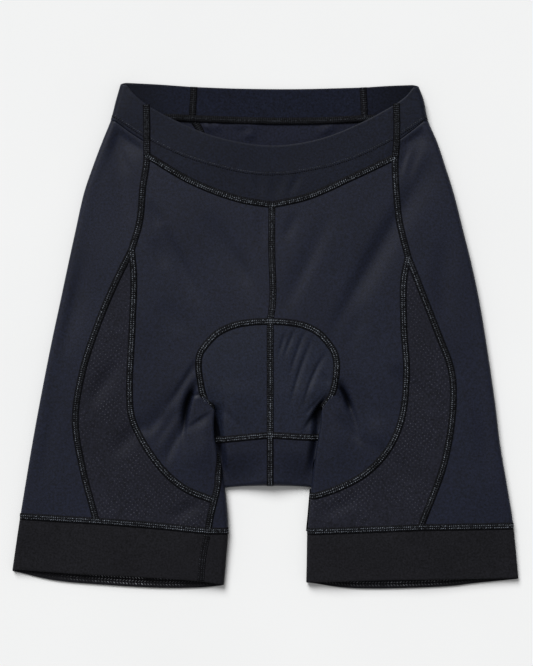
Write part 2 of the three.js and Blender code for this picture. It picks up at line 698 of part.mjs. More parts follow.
function makeHemBand(side, lines) {
  const edgeFront = seamOnFold(side, "edgeFront", CELLS.mesh + CELLS.side);
  const edgeBack = meetFold(seam(side, "edgeBack", CELLS.sideBack + CELLS.back), side, Math.PI, false);
  const seamFront = chain(backwards(lines.hemMesh), lines.hemSide);
  const seamBack = chain(lines.hemBack, lines.hemBackInner);
  const rowsAt = (from, to) => spread(from, to, CELLS.hem);
  const fronts = rowsAt(seamFront.at(-1).y, edgeFront.at(-1).y);
  const backs = rowsAt(seamBack[0].y, edgeBack[0].y);
  const innerYs = rowsAt(seamBack.at(-1).y, edgeBack.at(-1).y);
  const innerFrontYs = rowsAt(seamFront[0].y, edgeFront[0].y);
  const backTangent = innerTangent(side, innerYs);
  const start = inseamLine(side, innerFrontYs);
  const wrapStart = (y) => (side === "left" ? inseamAlong(side, y) : 0);
  const closeEnds = (points, first, last) => [first, ...points.slice(1, -1), last];
  const patches = [
    patch(
      {
        left: start,
        right: sideTangent(side, fronts, 0),
        top: closeEnds(seamFront, start[0], sideFold(side, fronts[0], 0)),
        bottom: closeEnds(edgeFront, start.at(-1), sideFold(side, fronts.at(-1), 0)),
      },
      front, UP,
    ),
    sidePatch(side, fronts, backs),
    patch(
      {
        left: sideTangent(side, backs, Math.PI),
        right: backTangent,
        top: closeEnds(seamBack, sideFold(side, backs[0], Math.PI), backTangent[0]),
        bottom: closeEnds(edgeBack, sideFold(side, backs.at(-1), Math.PI), backTangent.at(-1)),
      },
      floor, DOWN,
    ),
    innerPatch(side, innerFrontYs, innerYs, wrapStart, (y) => Math.PI * lookUp(INNER_FOLD, "radius", y)),
  ];
  return shell("hem_band_" + side, patches, { wall: HEM_WALL, colour: CLOTH.elastic });
}

const left = linesOf("left");
const right = linesOf("right");

const group = new THREE.Group();
group.add(
  makeYoke(left, right),
  makeBackBand(left, right),
  shell("back_panel", [...backPatches("left", left), ...backPatches("right", right)]),
);
for (const [side, lines] of [["left", left], ["right", right]]) {
  group.add(
    ...makeSide(side, lines),
    makeFrontPanel(side, lines),
    makeMeshPanel(side, lines),
    ...makeGusset(side, lines),
    makeHemBand(side, lines),
  );
}

export default group;
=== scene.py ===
# A pair of cycling shorts laid flat on its back: cloth, seams, grippers, floor, light and camera.
# Sizes are in millimetres and turned into metres by MM. Waist at +Y, floor at Z = 0.
import math

import bmesh
import bpy
import numpy as np
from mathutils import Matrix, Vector


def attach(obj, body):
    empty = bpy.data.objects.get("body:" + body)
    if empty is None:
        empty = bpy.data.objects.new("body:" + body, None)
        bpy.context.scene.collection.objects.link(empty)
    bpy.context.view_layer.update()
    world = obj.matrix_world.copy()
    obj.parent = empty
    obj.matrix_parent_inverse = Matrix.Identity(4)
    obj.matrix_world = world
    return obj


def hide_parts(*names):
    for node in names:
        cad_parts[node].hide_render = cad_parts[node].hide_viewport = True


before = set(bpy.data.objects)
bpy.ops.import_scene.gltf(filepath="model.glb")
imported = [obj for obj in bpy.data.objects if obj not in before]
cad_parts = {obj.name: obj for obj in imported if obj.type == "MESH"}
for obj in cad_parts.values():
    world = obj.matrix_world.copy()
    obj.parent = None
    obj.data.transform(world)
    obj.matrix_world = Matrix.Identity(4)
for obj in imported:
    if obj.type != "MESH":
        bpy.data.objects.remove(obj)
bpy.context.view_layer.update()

MM = 0.001
SIDES = ("left", "right")

# Walls of the cloth, and how clear pieces lie of the floor and of each other.
CLOTH_WALL = 1.3
DOUBLED_WALL = 2.2
HEM_WALL = 1.6
BAND_LIFT = 0.4
BACK_CLEAR = 0.4
LOWEST = 0.02

# Where the middle seam lies, on the front and at the back of the waist.
MIDDLE_X = 4.5
BACK_MIDDLE_X = 12.0

# Form of the front: the share of its half width where it is highest, how it comes down to the legs'
# inner edges, and over what distances its folds fade out towards the edges.
CROWN_SHARE = 0.55
INNER_EASE = {"start": 20.0, "reach": 25.0}
FOLD_FADE = {"inner": 7.0, "side": 9.0}

# Form of the gusset: its dip under the legs' inner edges, its swell between them, and where its
# wrinkles fade out.
GUSSET_DIP = {"start": -60.0, "run": 14.0, "level": 0.5, "left": 10.0, "right": 8.5}
GUSSET_SIDE_HEIGHT = 4.9
GUSSET_LOWEST = 3.1
GUSSET_SWELL = {"margin": 6.0, "reach": 24.0, "start": -38.0, "run": 16.0}
GUSSET_FADE = {"out": 64.0, "run": 7.0}

# The fold at the crotch: where it lies, its radius in the middle and at the sides, how the gusset
# comes down to it and how far it goes on under the back.
CROTCH = {"y": -139.0, "bend": 900.0, "middle": 5.2, "side": 2.8, "half": 36.0, "run": 30.0, "under": 11.0}
INSEAM_TURN = math.radians(120)

# Cells along each seam line, before each is divided into FINE, or CREASED_FINE by the crotch.
CELLS = {
    "bandSeam": 3, "yokeSide": 1, "princess": 7, "outer": 20, "inner": 17, "shoulder": 6, "archSide": 4,
    "gussetSide": 3, "lowerSide": 4, "gussetSeam": 6, "backPrincess": 28, "backBand": 3, "backSeam": 6,
    "bandTop": 3, "bandTopBack": 4, "bandEdge": 4, "bandEdgeBack": 4, "hemSide": 4, "hemMesh": 6,
    "hemBack": 4, "hemBackInner": 6, "edgeFront": 10, "edgeBack": 10, "yokeSeam": 7, "centreFront": 7,
    "centreBack": 16, "hookEnd": 2, "inseam": 3, "hem": 4,
}
FINE = 6
CREASED_FINE = 10
WRAP_CELLS = 14
HALF_TURN = np.linspace(0, math.pi, 13)
CURVE_STEPS = 60

# Folds are followed in straight steps, and taper off towards both ends.
FOLD_STEPS = 10
FOLD_TAPER = {"first": 0.05, "last": 0.95, "power": 1.2}

# Slow swells of hand-laid cloth: height, size across and along, and where each starts.
SWELLS = [
    (0.22, 31.0, 47.0, 0.0),
    (0.18, 23.0, -37.0, 1.7),
    (0.12, 13.0, 61.0, 0.6),
    (0.08, -29.0, 11.0, 2.4),
]


def table(columns, rows):
    """Rows of figures under named columns, lowest y first where there is a y."""
    found = dict(zip(columns, np.array(rows, float).T))
    if "y" in found:
        order = np.argsort(found["y"])
        found = {name: values[order] for name, values in found.items()}
    return found


# Outline of the side folds: distance out on either side, and the fold's radius.
SIDE_FOLD = table(("y", "left", "right", "radius"), [
    (235.5, 134, 141, 4.6),
    (220, 138.5, 147, 4.8),
    (203, 143, 150.5, 5),
    (180.5, 152, 160, 5),
    (156.5, 161, 168, 5),
    (132.5, 169, 175.5, 5),
    (99, 176.5, 184, 4.9),
    (67, 183.5, 192, 4.8),
    (34, 190.5, 199, 4.6),
    (-8, 199.5, 206, 4.5),
    (-59, 209.5, 213.5, 4.3),
    (-100, 217, 218.5, 4.1),
    (-138.5, 223.5, 225, 3.9),
    (-172.5, 229, 230.5, 3.6),
    (-222, 236.3, 235.5, 2.8),
])

# Outline of the legs' inner folds. Above the crotch the front cloth hooks under at `top`.
INNER_FOLD = table(("y", "left", "right", "radius", "top"), [
    (-66, 46.3, 51.8, 2.2, 10.6),
    (-78, 47.5, 51.5, 2.2, 10.8),
    (-93.5, 47.2, 49.5, 2.2, 10.7),
    (-105, 45, 47.5, 2.3, 10.5),
    (-120.5, 42, 45, 3.3, 10.1),
    (-130, 39.9, 43.6, 4, 9.8),
    (-141, 37.5, 42.5, 4.7, 9.4),
    (-165.5, 35, 40.5, 4.5, 9),
    (-182, 34.5, 39, 4.4, 8.8),
    (-208, 36.5, 38.5, 4.1, 8.2),
    (-231.5, 38.5, 38, 3.6, 7.2),
])
INNER_TOP_Y = -66.0

# Height of the front sheet over the middle of each leg and over the middle line.
FRONT_LEVEL = table(("y", "leg", "middle"), [
    (236, 9.6, 9.2),
    (177, 9.9, 9.4),
    (122, 10.2, 10),
    (60, 10.4, 11),
    (14, 10.4, 12.4),
    (-40, 10.2, 13.2),
    (-91.5, 9.8, 12),
    (-141, 9.4, 10.4),
    (-182, 9.2, 9.6),
    (-236, 8.6, 8.6),
])

# Folds and creases of the front, each along a bent line from 0 over 1 to 2. A negative rise is a
# trough. `width` is its spread on the left of the line's direction, `other` that on the right.
FOLD_COLUMNS = ("x0", "y0", "x1", "y1", "x2", "y2", "width", "other", "rise")
FRONT_FOLDS = table(FOLD_COLUMNS, [
    # Long soft troughs of the body and the sides.
    (155, 164, 98, 74, 62, 1, 12, 7, -2.5),
    (-58, 114, -36, 85, -8, 31, 9, 9, -1.2),
    (60, 114, 37, 62, 16, 22, 7, 9, -1.1),
    (-106, 112, -78, 72, -60, 27, 6, 9, -1.4),
    (-144, 198, -139, 160, -124, 106, 8, 8, -0.9),
    (-108, 126, -101, 110, -97, 102, 5, 6, -0.8),
    (-104, 92, -98, 78, -92, 62, 6, 7, -0.8),
    (-168, 80, -176, 30, -186, -20, 9, 12, -1.2),
    (170, 96, 160, 60, 168, 10, 12, 9, -1.2),
    (-100, 30, -84, 20, -76, 0, 9, 9, -0.6),
    (96, 30, 82, 10, 78, -14, 8, 8, -0.6),
    (-196, -60, -204, -100, -206, -140, 8, 8, -0.7),
    (196, -50, 204, -100, 208, -140, 8, 8, -0.7),
    # Short puckers under the waistband.
    (30, 116, 22, 100, 18, 88, 5, 5, -0.6),
    (-8, 118, -3, 102, -2, 84, 4, 4, -0.4),
    (-30, 84, -20, 62, -16, 46, 6, 6, -0.5),
    (-146, 196, -131, 184, -111, 170, 3, 12, -1.6),
    (-140, 186, -133, 170, -126, 150, 3, 8, -0.8),
    (-146, 200, -141, 196, -136, 192, 2, 4, -1.5),
    (120, 172, 140, 185, 157, 198, 3, 12, -1.8),
    (133, 176, 128, 163, 125, 148, 2, 7, -1.2),
    (144, 176, 136, 160, 132, 140, 3, 8, -0.8),
    (8, 152, 9, 142, 8, 128, 2, 2.6, -0.7),
    (16, 151, 14, 141, 11, 127, 2.2, 2, -0.6),
    (-9, 151, -6, 140, -4, 129, 2, 2.4, -0.6),
    (32, 151, 26, 143, 23, 131, 2.4, 2, -0.8),
    # Creases beside the crotch, left and then right.
    (-61.5, -41, -74, -57, -75.5, -86, 2.3, 3.6, -5.4),
    (-68, -48, -77, -64, -77, -110, 3.5, 3, -2.2),
    (-59, -52.5, -65, -56, -70.5, -53, 1.5, 1.3, -1.6),
    (-47, -70, -60, -75, -74, -87, 6, 1.5, -1.4),
    (-64, -22, -70.5, -35, -92, -66, 5, 2, -1.6),
    (-74, -46, -94, -66, -116, -92, 7, 7, -0.7),
    (-80, -66, -90, -82, -103, -102, 4, 5, -0.9),
    (-66, -73, -84, -92, -92, -118, 3, 4, -0.8),
    (-56, -92, -60, -108, -66, -124, 9, 9, 0.8),
    (64, -40, 74, -50, 79, -70, 3.8, 2.4, -5.6),
    (73, -54, 82, -66, 87, -96, 2.6, 5, -2.6),
    (66, -53, 69.5, -57, 73, -62, 1.3, 1.6, -2),
    (68, -72, 74, -87, 92, -101, 4, 3, -1.2),
    (62, -82, 66, -100, 70, -122, 9, 9, 0.6),
    (74, -36, 92, -58, 100, -84, 7, 8, -0.8),
    (90, -92, 100, -104, 114, -110, 6, 6, -0.6),
    # Slanting troughs of the mesh and the lower legs.
    (-137, -22, -149, -44, -164, -66, 6, 8, -2.8),
    (-112, -80, -126, -94, -144, -113, 6, 8, -2.6),
    (-94, -68, -102, -82, -112, -92, 5, 6, -1.1),
    (-79, -82, -86, -100, -94, -120, 5, 6, -1.1),
    (-117, -158, -124, -164, -132, -162, 7, 7, -0.4),
    (-60, -152, -71, -162, -87, -170, 5, 7, -2.2),
    (88, -150, 68, -158, 53, -167, 6, 6, -1.5),
    (95, -88, 108, -92, 120, -84, 12, 12, 0.8),
    (118, -28, 132, -46, 154, -64, 8, 6, -1.8),
    (104, -104, 124, -118, 140, -142, 8, 8, -1.1),
])

# Wrinkles and creases of the gusset, in the same columns.
GUSSET_FOLDS = table(FOLD_COLUMNS, [
    (18, 4, 15.5, -6, 12, -18, 2, 1, -0.8),
    (27, 6, 22, -4, 17, -20, 2, 1, -0.9),
    (37, 6, 29, -11, 22.5, -35, 2.4, 1, -1),
    (43, -2, 31, -28, 23, -62, 2.8, 1, -1.2),
    (56, -15, 42, -33, 35, -64, 3, 1, -1.3),
    (52, -34, 56, -39, 59, -45, 2, 1.3, -0.7),
    (57, -54, 47.5, -67, 36, -86, 10, 1.2, -4.8),
    (55, -53, 46.5, -62, 36, -73, 2, 1.4, -0.9),
    (-50, -60, -45.5, -80, -42, -108, 2.6, 5, -5.2),
    (-43, -62, -34, -74, -19, -88, 3, 4, -0.5),
    (-45, -78, -42.5, -102, -39, -132, 3, 3.4, -3.6),
    (50, -70, 47.5, -92, 44, -124, 3.5, 3.5, -2.2),
])

# Folds of the back cloth: small ones that show inside the waist, then soft ones under the seat and legs.
BACK_FOLDS = table(FOLD_COLUMNS, [
    (-20, 185, -14, 189, -8, 191, 4, 3, 1.3),
    (-33, 196, -20, 198, -3, 196, 2.5, 2.5, 1),
    (-58, 199, -53, 196, -50, 190, 2, 3, 1.2),
    (-50, 198, -44, 197, -42, 192, 2, 3, 1),
    (66, 198, 58, 192, 48, 189, 3, 4, 0.9),
    (-96, 176, -84, 150, -70, 118, 8, 6, 1.1),
    (-34, 168, -28, 138, -12, 104, 7, 9, 0.9),
    (42, 170, 30, 132, 26, 92, 8, 7, 1),
    (112, 168, 96, 132, 88, 96, 7, 9, 1.2),
    (-140, 92, -128, 44, -132, -10, 9, 8, 1),
    (150, 84, 140, 38, 146, -18, 8, 10, 1.1),
    (-46, 60, -34, 20, -30, -26, 9, 9, 0.8),
    (52, 56, 42, 14, 44, -30, 9, 8, 0.8),
    (-58, -100, -84, -80, -112, -36, 6, 9, 1.3),
    (-66, -120, -92, -112, -140, -82, 6, 8, 1.1),
    (66, -98, 88, -76, 116, -34, 9, 6, 1.3),
    (72, -122, 100, -112, 146, -84, 8, 6, 1),
])

# How far the front cloth turns under at each leg's inner edge: turn in degrees, then a flat lap.
HOOK = table(("y", "turn", "lap"), [
    (-66, 20, 0),
    (-78, 120, 0),
    (-91, 180, 4.5),
    (-105, 180, 4.5),
    (-117, 180, 1.5),
    (-130, 180, 0),
])

# The left leg's inseam, which shows on the front beside the inner fold.
LEFT_INSEAM = table(("y", "out"), [
    (-130, 43.9),
    (-140, 44.5),
    (-152.5, 47.5),
    (-165, 50.5),
    (-180.8, 53.4),
    (-205, 58),
    (-227.5, 60),
])

# Lines across the whole front, and the back of the waist, in x and y.
FRONT_TOP = [(-110.5, 215), (-89.5, 203.5), (-47, 186), (4.5, 177.5), (50, 183.5), (92, 200), (121.5, 216)]
YOKE_SEAM = {
    "left": [(-110, 168), (-68, 143.5), (-25.5, 127.5), (6, 122)],
    "right": [(120.5, 166.5), (81.5, 148), (39, 129.5), (6, 122)],
}
BACK_TOP = [(-66.5, 232.5), (-25.5, 231), (28.5, 230.5), (91, 232)]
CENTRE_FRONT = [(6, 122), (6, 76.5), (7, 36), (MIDDLE_X, 14)]
CENTRE_ARCH = [(MIDDLE_X, 14), (MIDDLE_X, -40), (MIDDLE_X, -91.5)]
CENTRE_BACK = [(BACK_MIDDLE_X, 200.5), (10, 110), (6, 0), (MIDDLE_X, -128)]
TOPSTITCH = [
    (-141.5, 206.5), (-113.5, 188), (-79, 170.5), (-47, 160), (-15, 153), (13.5, 152), (39, 155.5),
    (66, 161.5), (92.5, 171.5), (118, 184.5), (149, 204.5),
]

# Seam lines of either side, each point as out and y.
SEAMS = {
    "left": {
        "bandSeam": [(110.5, 215), (110, 195), (110, 179)],
        "yokeSide": [(110, 179), (110, 168)],
        "princess": [(110, 168), (110.5, 158), (113.5, 140), (116.5, 107), (124, 80.5)],
        "outer": [(124, 80.5), (140, 48), (157, 7), (170, -34), (176.5, -78), (170, -121.5), (157, -171.5)],
        "inner": [
            (124, 80.5), (122, 54), (123.5, 8.5), (126, -50), (124, -75), (114.5, -96.5), (95, -124),
            (75, -141), (47.5, -152.5),
        ],
        "shoulder": [(-MIDDLE_X, 14), (14, 13), (29.5, 10), (45, 2.5), (54.5, -7)],
        "archSide": [(54.5, -7), (60.5, -16), (62, -25), (60.5, -40.5), (56.5, -57), (48.5, -67.5)],
        "gussetSide": [(48.5, -67.5), (54, -81.5), (55, -97.5)],
        "lowerSide": [(55, -97.5), (49, -108), (42.3, -117), (40.6, -126), (38.6, -138)],
        "gussetSeam": [(55, -97.5), (26.5, -94.5), (-MIDDLE_X, -91.5)],
        "backPrincess": [
            (68, 203), (60, 190), (58, 160), (66, 110), (84, 50), (104, -20), (116, -90), (120, -172),
        ],
        "backBand": [(66.5, 232.5), (68, 203)],
        "backSeam": [(68, 203), (27, 201.5), (-BACK_MIDDLE_X, 200.5)],
        "bandTop": [(110.5, 215), (120.5, 223.5), (129.3, 233.6)],
        "bandTopBack": [(129, 236.4), (100, 234.9), (66.5, 232.5)],
        "bandEdge": [(110, 179), (126, 189.5), (139.3, 199.5)],
        "bandEdgeBack": [(137.8, 203.4), (89.5, 204), (68, 203)],
        "hemSide": [(157, -171.5), (190, -169.6), (224.7, -167.5)],
        "hemMesh": [(157, -171.5), (100, -176), (53.4, -180.8)],
        "hemBack": [(224.8, -168), (170, -169.5), (120, -172)],
        "hemBackInner": [(120, -172), (79.5, -176.5), (38.9, -180.8)],
        "edgeFront": [(60, -227.5), (120, -223.5), (172.5, -221), (232.4, -217.2)],
        "edgeBack": [(232.7, -219.5), (197, -227.5), (147, -232), (97.5, -234.6), (60, -234.2), (42, -232.6)],
    },
    "right": {
        "bandSeam": [(121.5, 216), (122, 198), (121.7, 180)],
        "yokeSide": [(121.7, 180), (120.5, 166.5)],
        "princess": [(120.5, 166.5), (120.5, 150), (124.5, 107), (132.5, 73.5)],
        "outer": [
            (132.5, 73.5), (145.5, 40.5), (160.5, 2), (172.5, -31), (174.5, -62), (166.5, -116),
            (144, -177.5),
        ],
        "inner": [
            (132.5, 73.5), (128.5, 52.5), (128.5, 8.5), (131, -36), (126, -78), (113, -106.5), (92, -128),
            (66.5, -141.5), (46.8, -148.3),
        ],
        "shoulder": [(MIDDLE_X, 14), (20.5, 13), (36, 10), (49, 3.5), (57.5, -5)],
        "archSide": [(57.5, -5), (64, -15), (66, -25), (65, -40.5), (61, -55.5), (54, -65.5)],
        "gussetSide": [(54, -65.5), (58.5, -81.5), (57.5, -94.5)],
        "lowerSide": [(57.5, -94.5), (52, -107), (45.3, -116), (44.2, -126), (43.3, -138)],
        "gussetSeam": [(57.5, -94.5), (27.5, -93), (MIDDLE_X, -91.5)],
        "backPrincess": [
            (92.5, 203), (86, 190), (82, 160), (86, 110), (98, 50), (112, -20), (120, -90), (122, -176),
        ],
        "backBand": [(91, 232), (92.5, 203)],
        "backSeam": [(92.5, 203), (51, 201), (BACK_MIDDLE_X, 200.5)],
        "bandTop": [(121.5, 216), (130.5, 223), (137.5, 231.2)],
        "bandTopBack": [(136.6, 234.4), (114, 233.5), (91, 232)],
        "bandEdge": [(121.7, 180), (134.5, 189.5), (147, 199.5)],
        "bandEdgeBack": [(145.4, 203.2), (110, 203.4), (92.5, 203)],
        "hemSide": [(144, -177.5), (190, -177), (227.1, -176.4)],
        "hemMesh": [(144, -177.5), (95, -179.5), (43.4, -181.3)],
        "hemBack": [(227.2, -176.8), (170, -176), (122, -176)],
        "hemBackInner": [(122, -176), (80, -179), (43.4, -181.3)],
        "edgeFront": [(42, -228.8), (119.5, -226.5), (172, -226), (233.2, -225)],
        "edgeBack": [(233.4, -226.4), (194, -230.4), (172, -233), (101, -235.3), (72, -234.2), (42, -229.8)],
    },
}


def sign_of(side):
    return -1.0 if side == "left" else 1.0


def mix(a, b, t):
    return a + (b - a) * t


def ease(t):
    t = np.clip(t, 0.0, 1.0)
    return t * t * (3.0 - 2.0 * t)


def look_up(rows, name, y):
    """A column at height y: smooth between its rows, straight beyond its ends."""
    ys, values = rows["y"], rows[name]
    slopes = np.empty_like(values)
    slopes[1:-1] = (values[2:] - values[:-2]) / (ys[2:] - ys[:-2])
    slopes[0] = (values[1] - values[0]) / (ys[1] - ys[0])
    slopes[-1] = (values[-1] - values[-2]) / (ys[-1] - ys[-2])
    y = np.asarray(y, float)
    i = np.clip(np.searchsorted(ys, y) - 1, 0, len(ys) - 2)
    span = ys[i + 1] - ys[i]
    t = (y - ys[i]) / span
    smooth = (
        values[i] * (2 * t**3 - 3 * t**2 + 1)
        + slopes[i] * span * (t**3 - 2 * t**2 + t)
        + values[i + 1] * (3 * t**2 - 2 * t**3)
        + slopes[i + 1] * span * (t**3 - t**2)
    )
    below = values[0] + (y - ys[0]) * slopes[0]
    above = values[-1] + (y - ys[-1]) * slopes[-1]
    return np.where(t < 0, below, np.where(t > 1, above, smooth))


def curve(points, cells):
    """Points spaced evenly along a smooth line through the given ones."""
    p = np.array(points, float)
    p = np.vstack([2 * p[0] - p[1], p, 2 * p[-1] - p[-2]])
    t = np.linspace(0, 1, CURVE_STEPS)[:, None]
    found = []
    for a, b, c, d in zip(p, p[1:], p[2:], p[3:]):
        before, along, after = (math.sqrt(math.dist(m, n)) for m, n in ((a, b), (b, c), (c, d)))
        start = ((b - a) / before - (c - a) / (before + along) + (c - b) / along) * along
        end = ((c - b) / along - (d - b) / (along + after) + (d - c) / after) * along
        square = 3 * (c - b) - 2 * start - end
        cube = 2 * (b - c) + start + end
        found.append(b + start * t + square * t**2 + cube * t**3)
    return spaced(np.vstack(found), cells)


def way_along(points):
    """How far along its line each point lies."""
    gaps = np.linalg.norm(np.diff(points, axis=0), axis=1)
    return np.concatenate([[0.0], np.cumsum(gaps)])


def read_off(values, way, stops):
    """Values known along a way, at other stops of it."""
    return np.column_stack([np.interp(stops, way, column) for column in values.T])


def spaced(points, cells):
    """The same line through evenly spaced points."""
    way = way_along(points)
    return read_off(points, way, np.linspace(0, way[-1], cells + 1))


def seam(side, name, cells):
    """A seam line of one side, turned from out and y into x and y."""
    return curve([(sign_of(side) * out, y) for out, y in SEAMS[side][name]], cells)


def chain(*lines):
    """Joins lines that follow one another, leaving out the points they share."""
    return np.vstack([points[1:] if i else points for i, points in enumerate(lines)])


def fold_rise(folds, x, y):
    """Height that a table of folds adds at x and y."""
    x, y = np.broadcast_arrays(np.asarray(x, float), np.asarray(y, float))
    total = np.zeros(x.shape)
    t = np.linspace(0, 1, FOLD_STEPS + 1)
    for x0, y0, x1, y1, x2, y2, width, other, rise in zip(*(folds[name] for name in FOLD_COLUMNS)):
        px = (1 - t) ** 2 * x0 + 2 * t * (1 - t) * x1 + t**2 * x2
        py = (1 - t) ** 2 * y0 + 2 * t * (1 - t) * y1 + t**2 * y2
        reach = 3 * max(width, other)
        near = (x > px.min() - reach) & (x < px.max() + reach)
        near &= (y > py.min() - reach) & (y < py.max() + reach)
        if not near.any():
            continue
        qx, qy = x[near], y[near]
        best = np.full(qx.shape, np.inf)
        along = np.zeros(qx.shape)
        hand = np.zeros(qx.shape)
        for n, (ax, ay, dx, dy) in enumerate(zip(px, py, np.diff(px), np.diff(py))):
            s = np.clip(((qx - ax) * dx + (qy - ay) * dy) / (dx * dx + dy * dy), 0, 1)
            away = np.hypot(qx - ax - s * dx, qy - ay - s * dy)
            closer = away < best
            best = np.where(closer, away, best)
            along = np.where(closer, (n + s) / FOLD_STEPS, along)
            hand = np.where(closer, dx * (qy - ay) - dy * (qx - ax), hand)
        spread = np.where(hand > 0, width, other)
        taper = mix(FOLD_TAPER["first"], FOLD_TAPER["last"], along)
        fade = np.sin(math.pi * taper) ** FOLD_TAPER["power"]
        total[near] += rise * fade * np.exp(-((best / spread) ** 2))
    return total


def unevenness(x, y):
    return sum(height * np.sin(x / across + y / along + start) for height, across, along, start in SWELLS)


def by_side(rows, x, y):
    return np.where(x < 0, look_up(rows, "left", y), look_up(rows, "right", y))


def side_start(side, y):
    """How far out the front starts to turn down into a side fold."""
    return look_up(SIDE_FOLD, side, y) - look_up(SIDE_FOLD, "radius", y)


def inner_start(side, y):
    """How far out the front starts to turn down into a leg's inner fold."""
    return look_up(INNER_FOLD, side, y) + look_up(INNER_FOLD, "radius", y)


def front_height(x, y):
    """Height of the front sheet's outer face above the floor."""
    x, y = np.broadcast_arrays(np.asarray(x, float), np.asarray(y, float))
    out = np.abs(x)
    edge = by_side(SIDE_FOLD, x, y)
    radius = look_up(SIDE_FOLD, "radius", y)
    leg = look_up(FRONT_LEVEL, "leg", y)
    crown = CROWN_SHARE * edge
    height = np.where(
        out < crown,
        mix(look_up(FRONT_LEVEL, "middle", y), leg, ease(out / crown)),
        mix(leg, 2 * radius, ease((out - crown) / (edge - radius - crown))),
    )
    inner = by_side(INNER_FOLD, x, y) + look_up(INNER_FOLD, "radius", y)
    near = 1 - ease((out - inner) / INNER_EASE["reach"])
    below = ease((INNER_TOP_Y + INNER_EASE["start"] - y) / INNER_EASE["start"])
    height = mix(height, look_up(INNER_FOLD, "top", y), near * below)
    legs = mix(1.0, ease((out - inner) / FOLD_FADE["inner"]), below)
    free = ease((edge - radius - out) / FOLD_FADE["side"]) * legs
    return height + (fold_rise(FRONT_FOLDS, x, y) + unevenness(x, y)) * free


def crotch_y(x):
    return CROTCH["y"] - (x - MIDDLE_X) ** 2 / CROTCH["bend"]


def crotch_radius(x):
    return mix(CROTCH["middle"], CROTCH["side"], ease(np.abs(x - MIDDLE_X) / CROTCH["half"]))


def gusset_height(x, y):
    """Height of the gusset, which swells between the legs, dips under their edges and ends in a fold."""
    x, y = np.broadcast_arrays(np.asarray(x, float), np.asarray(y, float))
    inside = by_side(INNER_FOLD, x, np.minimum(y, INNER_TOP_Y)) - np.abs(x)
    below = ease((GUSSET_DIP["start"] - y) / GUSSET_DIP["run"])
    width = np.where(x < 0, GUSSET_DIP["left"], GUSSET_DIP["right"])
    dip = below * (1 - ease((inside - GUSSET_DIP["level"]) / width))
    swell = ease((inside + GUSSET_SWELL["margin"]) / GUSSET_SWELL["reach"])
    swell = swell * ease((GUSSET_SWELL["start"] - y) / GUSSET_SWELL["run"])
    flat = mix(front_height(x, y), look_up(FRONT_LEVEL, "middle", y), swell)
    free = ease((GUSSET_FADE["out"] - np.abs(x)) / GUSSET_FADE["run"])
    height = mix(flat, GUSSET_SIDE_HEIGHT, dip) + fold_rise(GUSSET_FOLDS, x, y) * free
    above = (y - crotch_y(x) - crotch_radius(x)) / CROTCH["run"]
    return mix(2 * crotch_radius(x), np.maximum(height, GUSSET_LOWEST), ease(above))


def back_height(x, y):
    return BACK_CLEAR + fold_rise(BACK_FOLDS, x, y)


def fold_height(radius, turn):
    """Height on a fold whose turn runs from 0 at its top to pi at the floor."""
    return BACK_CLEAR + (2 * radius - BACK_CLEAR) * (1 + np.cos(turn)) / 2


def placed(x, y, z, across, along):
    """Points in space, and their places on the piece's pattern."""
    return np.stack([x, y, z], -1), np.stack([across, along], -1)


def on_front(x, y):
    return placed(x, y, front_height(x, y), x, y)


def on_gusset(x, y):
    return placed(x, y, gusset_height(x, y), x, y)


def on_flat_back(x, y):
    return placed(x, y, back_height(x, y), x, y)


def on_back(x, y):
    """The back, with its pattern measured on round the side folds."""
    radius = look_up(SIDE_FOLD, "radius", y)
    tangent = by_side(SIDE_FOLD, x, y) - radius
    across = np.where(x < 0, -1.0, 1.0) * (2 * tangent + math.pi * radius) - x
    return placed(x, y, back_height(x, y), across, y)


def on_side_fold(side, y, turn):
    y, turn = np.broadcast_arrays(np.asarray(y, float), np.asarray(turn, float))
    radius = look_up(SIDE_FOLD, "radius", y)
    tangent = side_start(side, y)
    x = sign_of(side) * (tangent + radius * np.sin(turn))
    return placed(x, y, fold_height(radius, turn), sign_of(side) * (tangent + radius * turn), y)


def on_inner_fold(side, y, along, from_back=False):
    """The path round a leg's inner fold, from its top at 0 to where it lies flat below."""
    y, along = np.broadcast_arrays(np.asarray(y, float), np.asarray(along, float))
    radius = look_up(INNER_FOLD, "radius", y)
    start = inner_start(side, y)
    top = look_up(INNER_FOLD, "top", y)
    arc = math.pi * radius
    turn = np.clip(along / radius, 0, math.pi)
    over = np.maximum(-along, 0)
    lap = np.maximum(along - arc, 0)
    x = sign_of(side) * (start - radius * np.sin(turn) + over + lap)
    z = np.maximum(top - radius + radius * np.cos(turn), BACK_CLEAR)
    z = np.where(along < 0, front_height(x, y), z)
    measured = start - (arc - along if from_back else along)
    return placed(x, y, z, sign_of(side) * measured, y)


def on_crotch(x, turn):
    """The fold at the crotch, from the gusset's face round to the back."""
    radius = crotch_radius(x)
    middle = crotch_y(x) + radius
    return placed(x, middle - radius * np.sin(turn), fold_height(radius, turn), x, middle - radius * turn)


def side_tangent(side, y):
    return np.column_stack([sign_of(side) * side_start(side, y), y])


def inner_tangent(side, y):
    return np.column_stack([sign_of(side) * inner_start(side, y), y])


def inner_arc(y):
    """Length of the half turn round an inner fold."""
    return math.pi * look_up(INNER_FOLD, "radius", y)


def inseam_line(side, y):
    """The inseam: on the front of the left leg, on the right one the line where its fold starts."""
    if side == "right":
        return inner_tangent(side, y)
    return np.column_stack([-look_up(LEFT_INSEAM, "out", y), y])


def inseam_along(side, y):
    """Where the inseam lies on the path round the inner fold."""
    if side == "right":
        return INSEAM_TURN * look_up(INNER_FOLD, "radius", y)
    return inner_start(side, y) - look_up(LEFT_INSEAM, "out", y)


def subdivided(values, times):
    values = np.asarray(values, float)
    count = len(values) - 1
    return np.interp(np.linspace(0, count, count * times + 1), np.arange(count + 1), values)


UP = (0, 0, 1)
DOWN = (0, 0, -1)


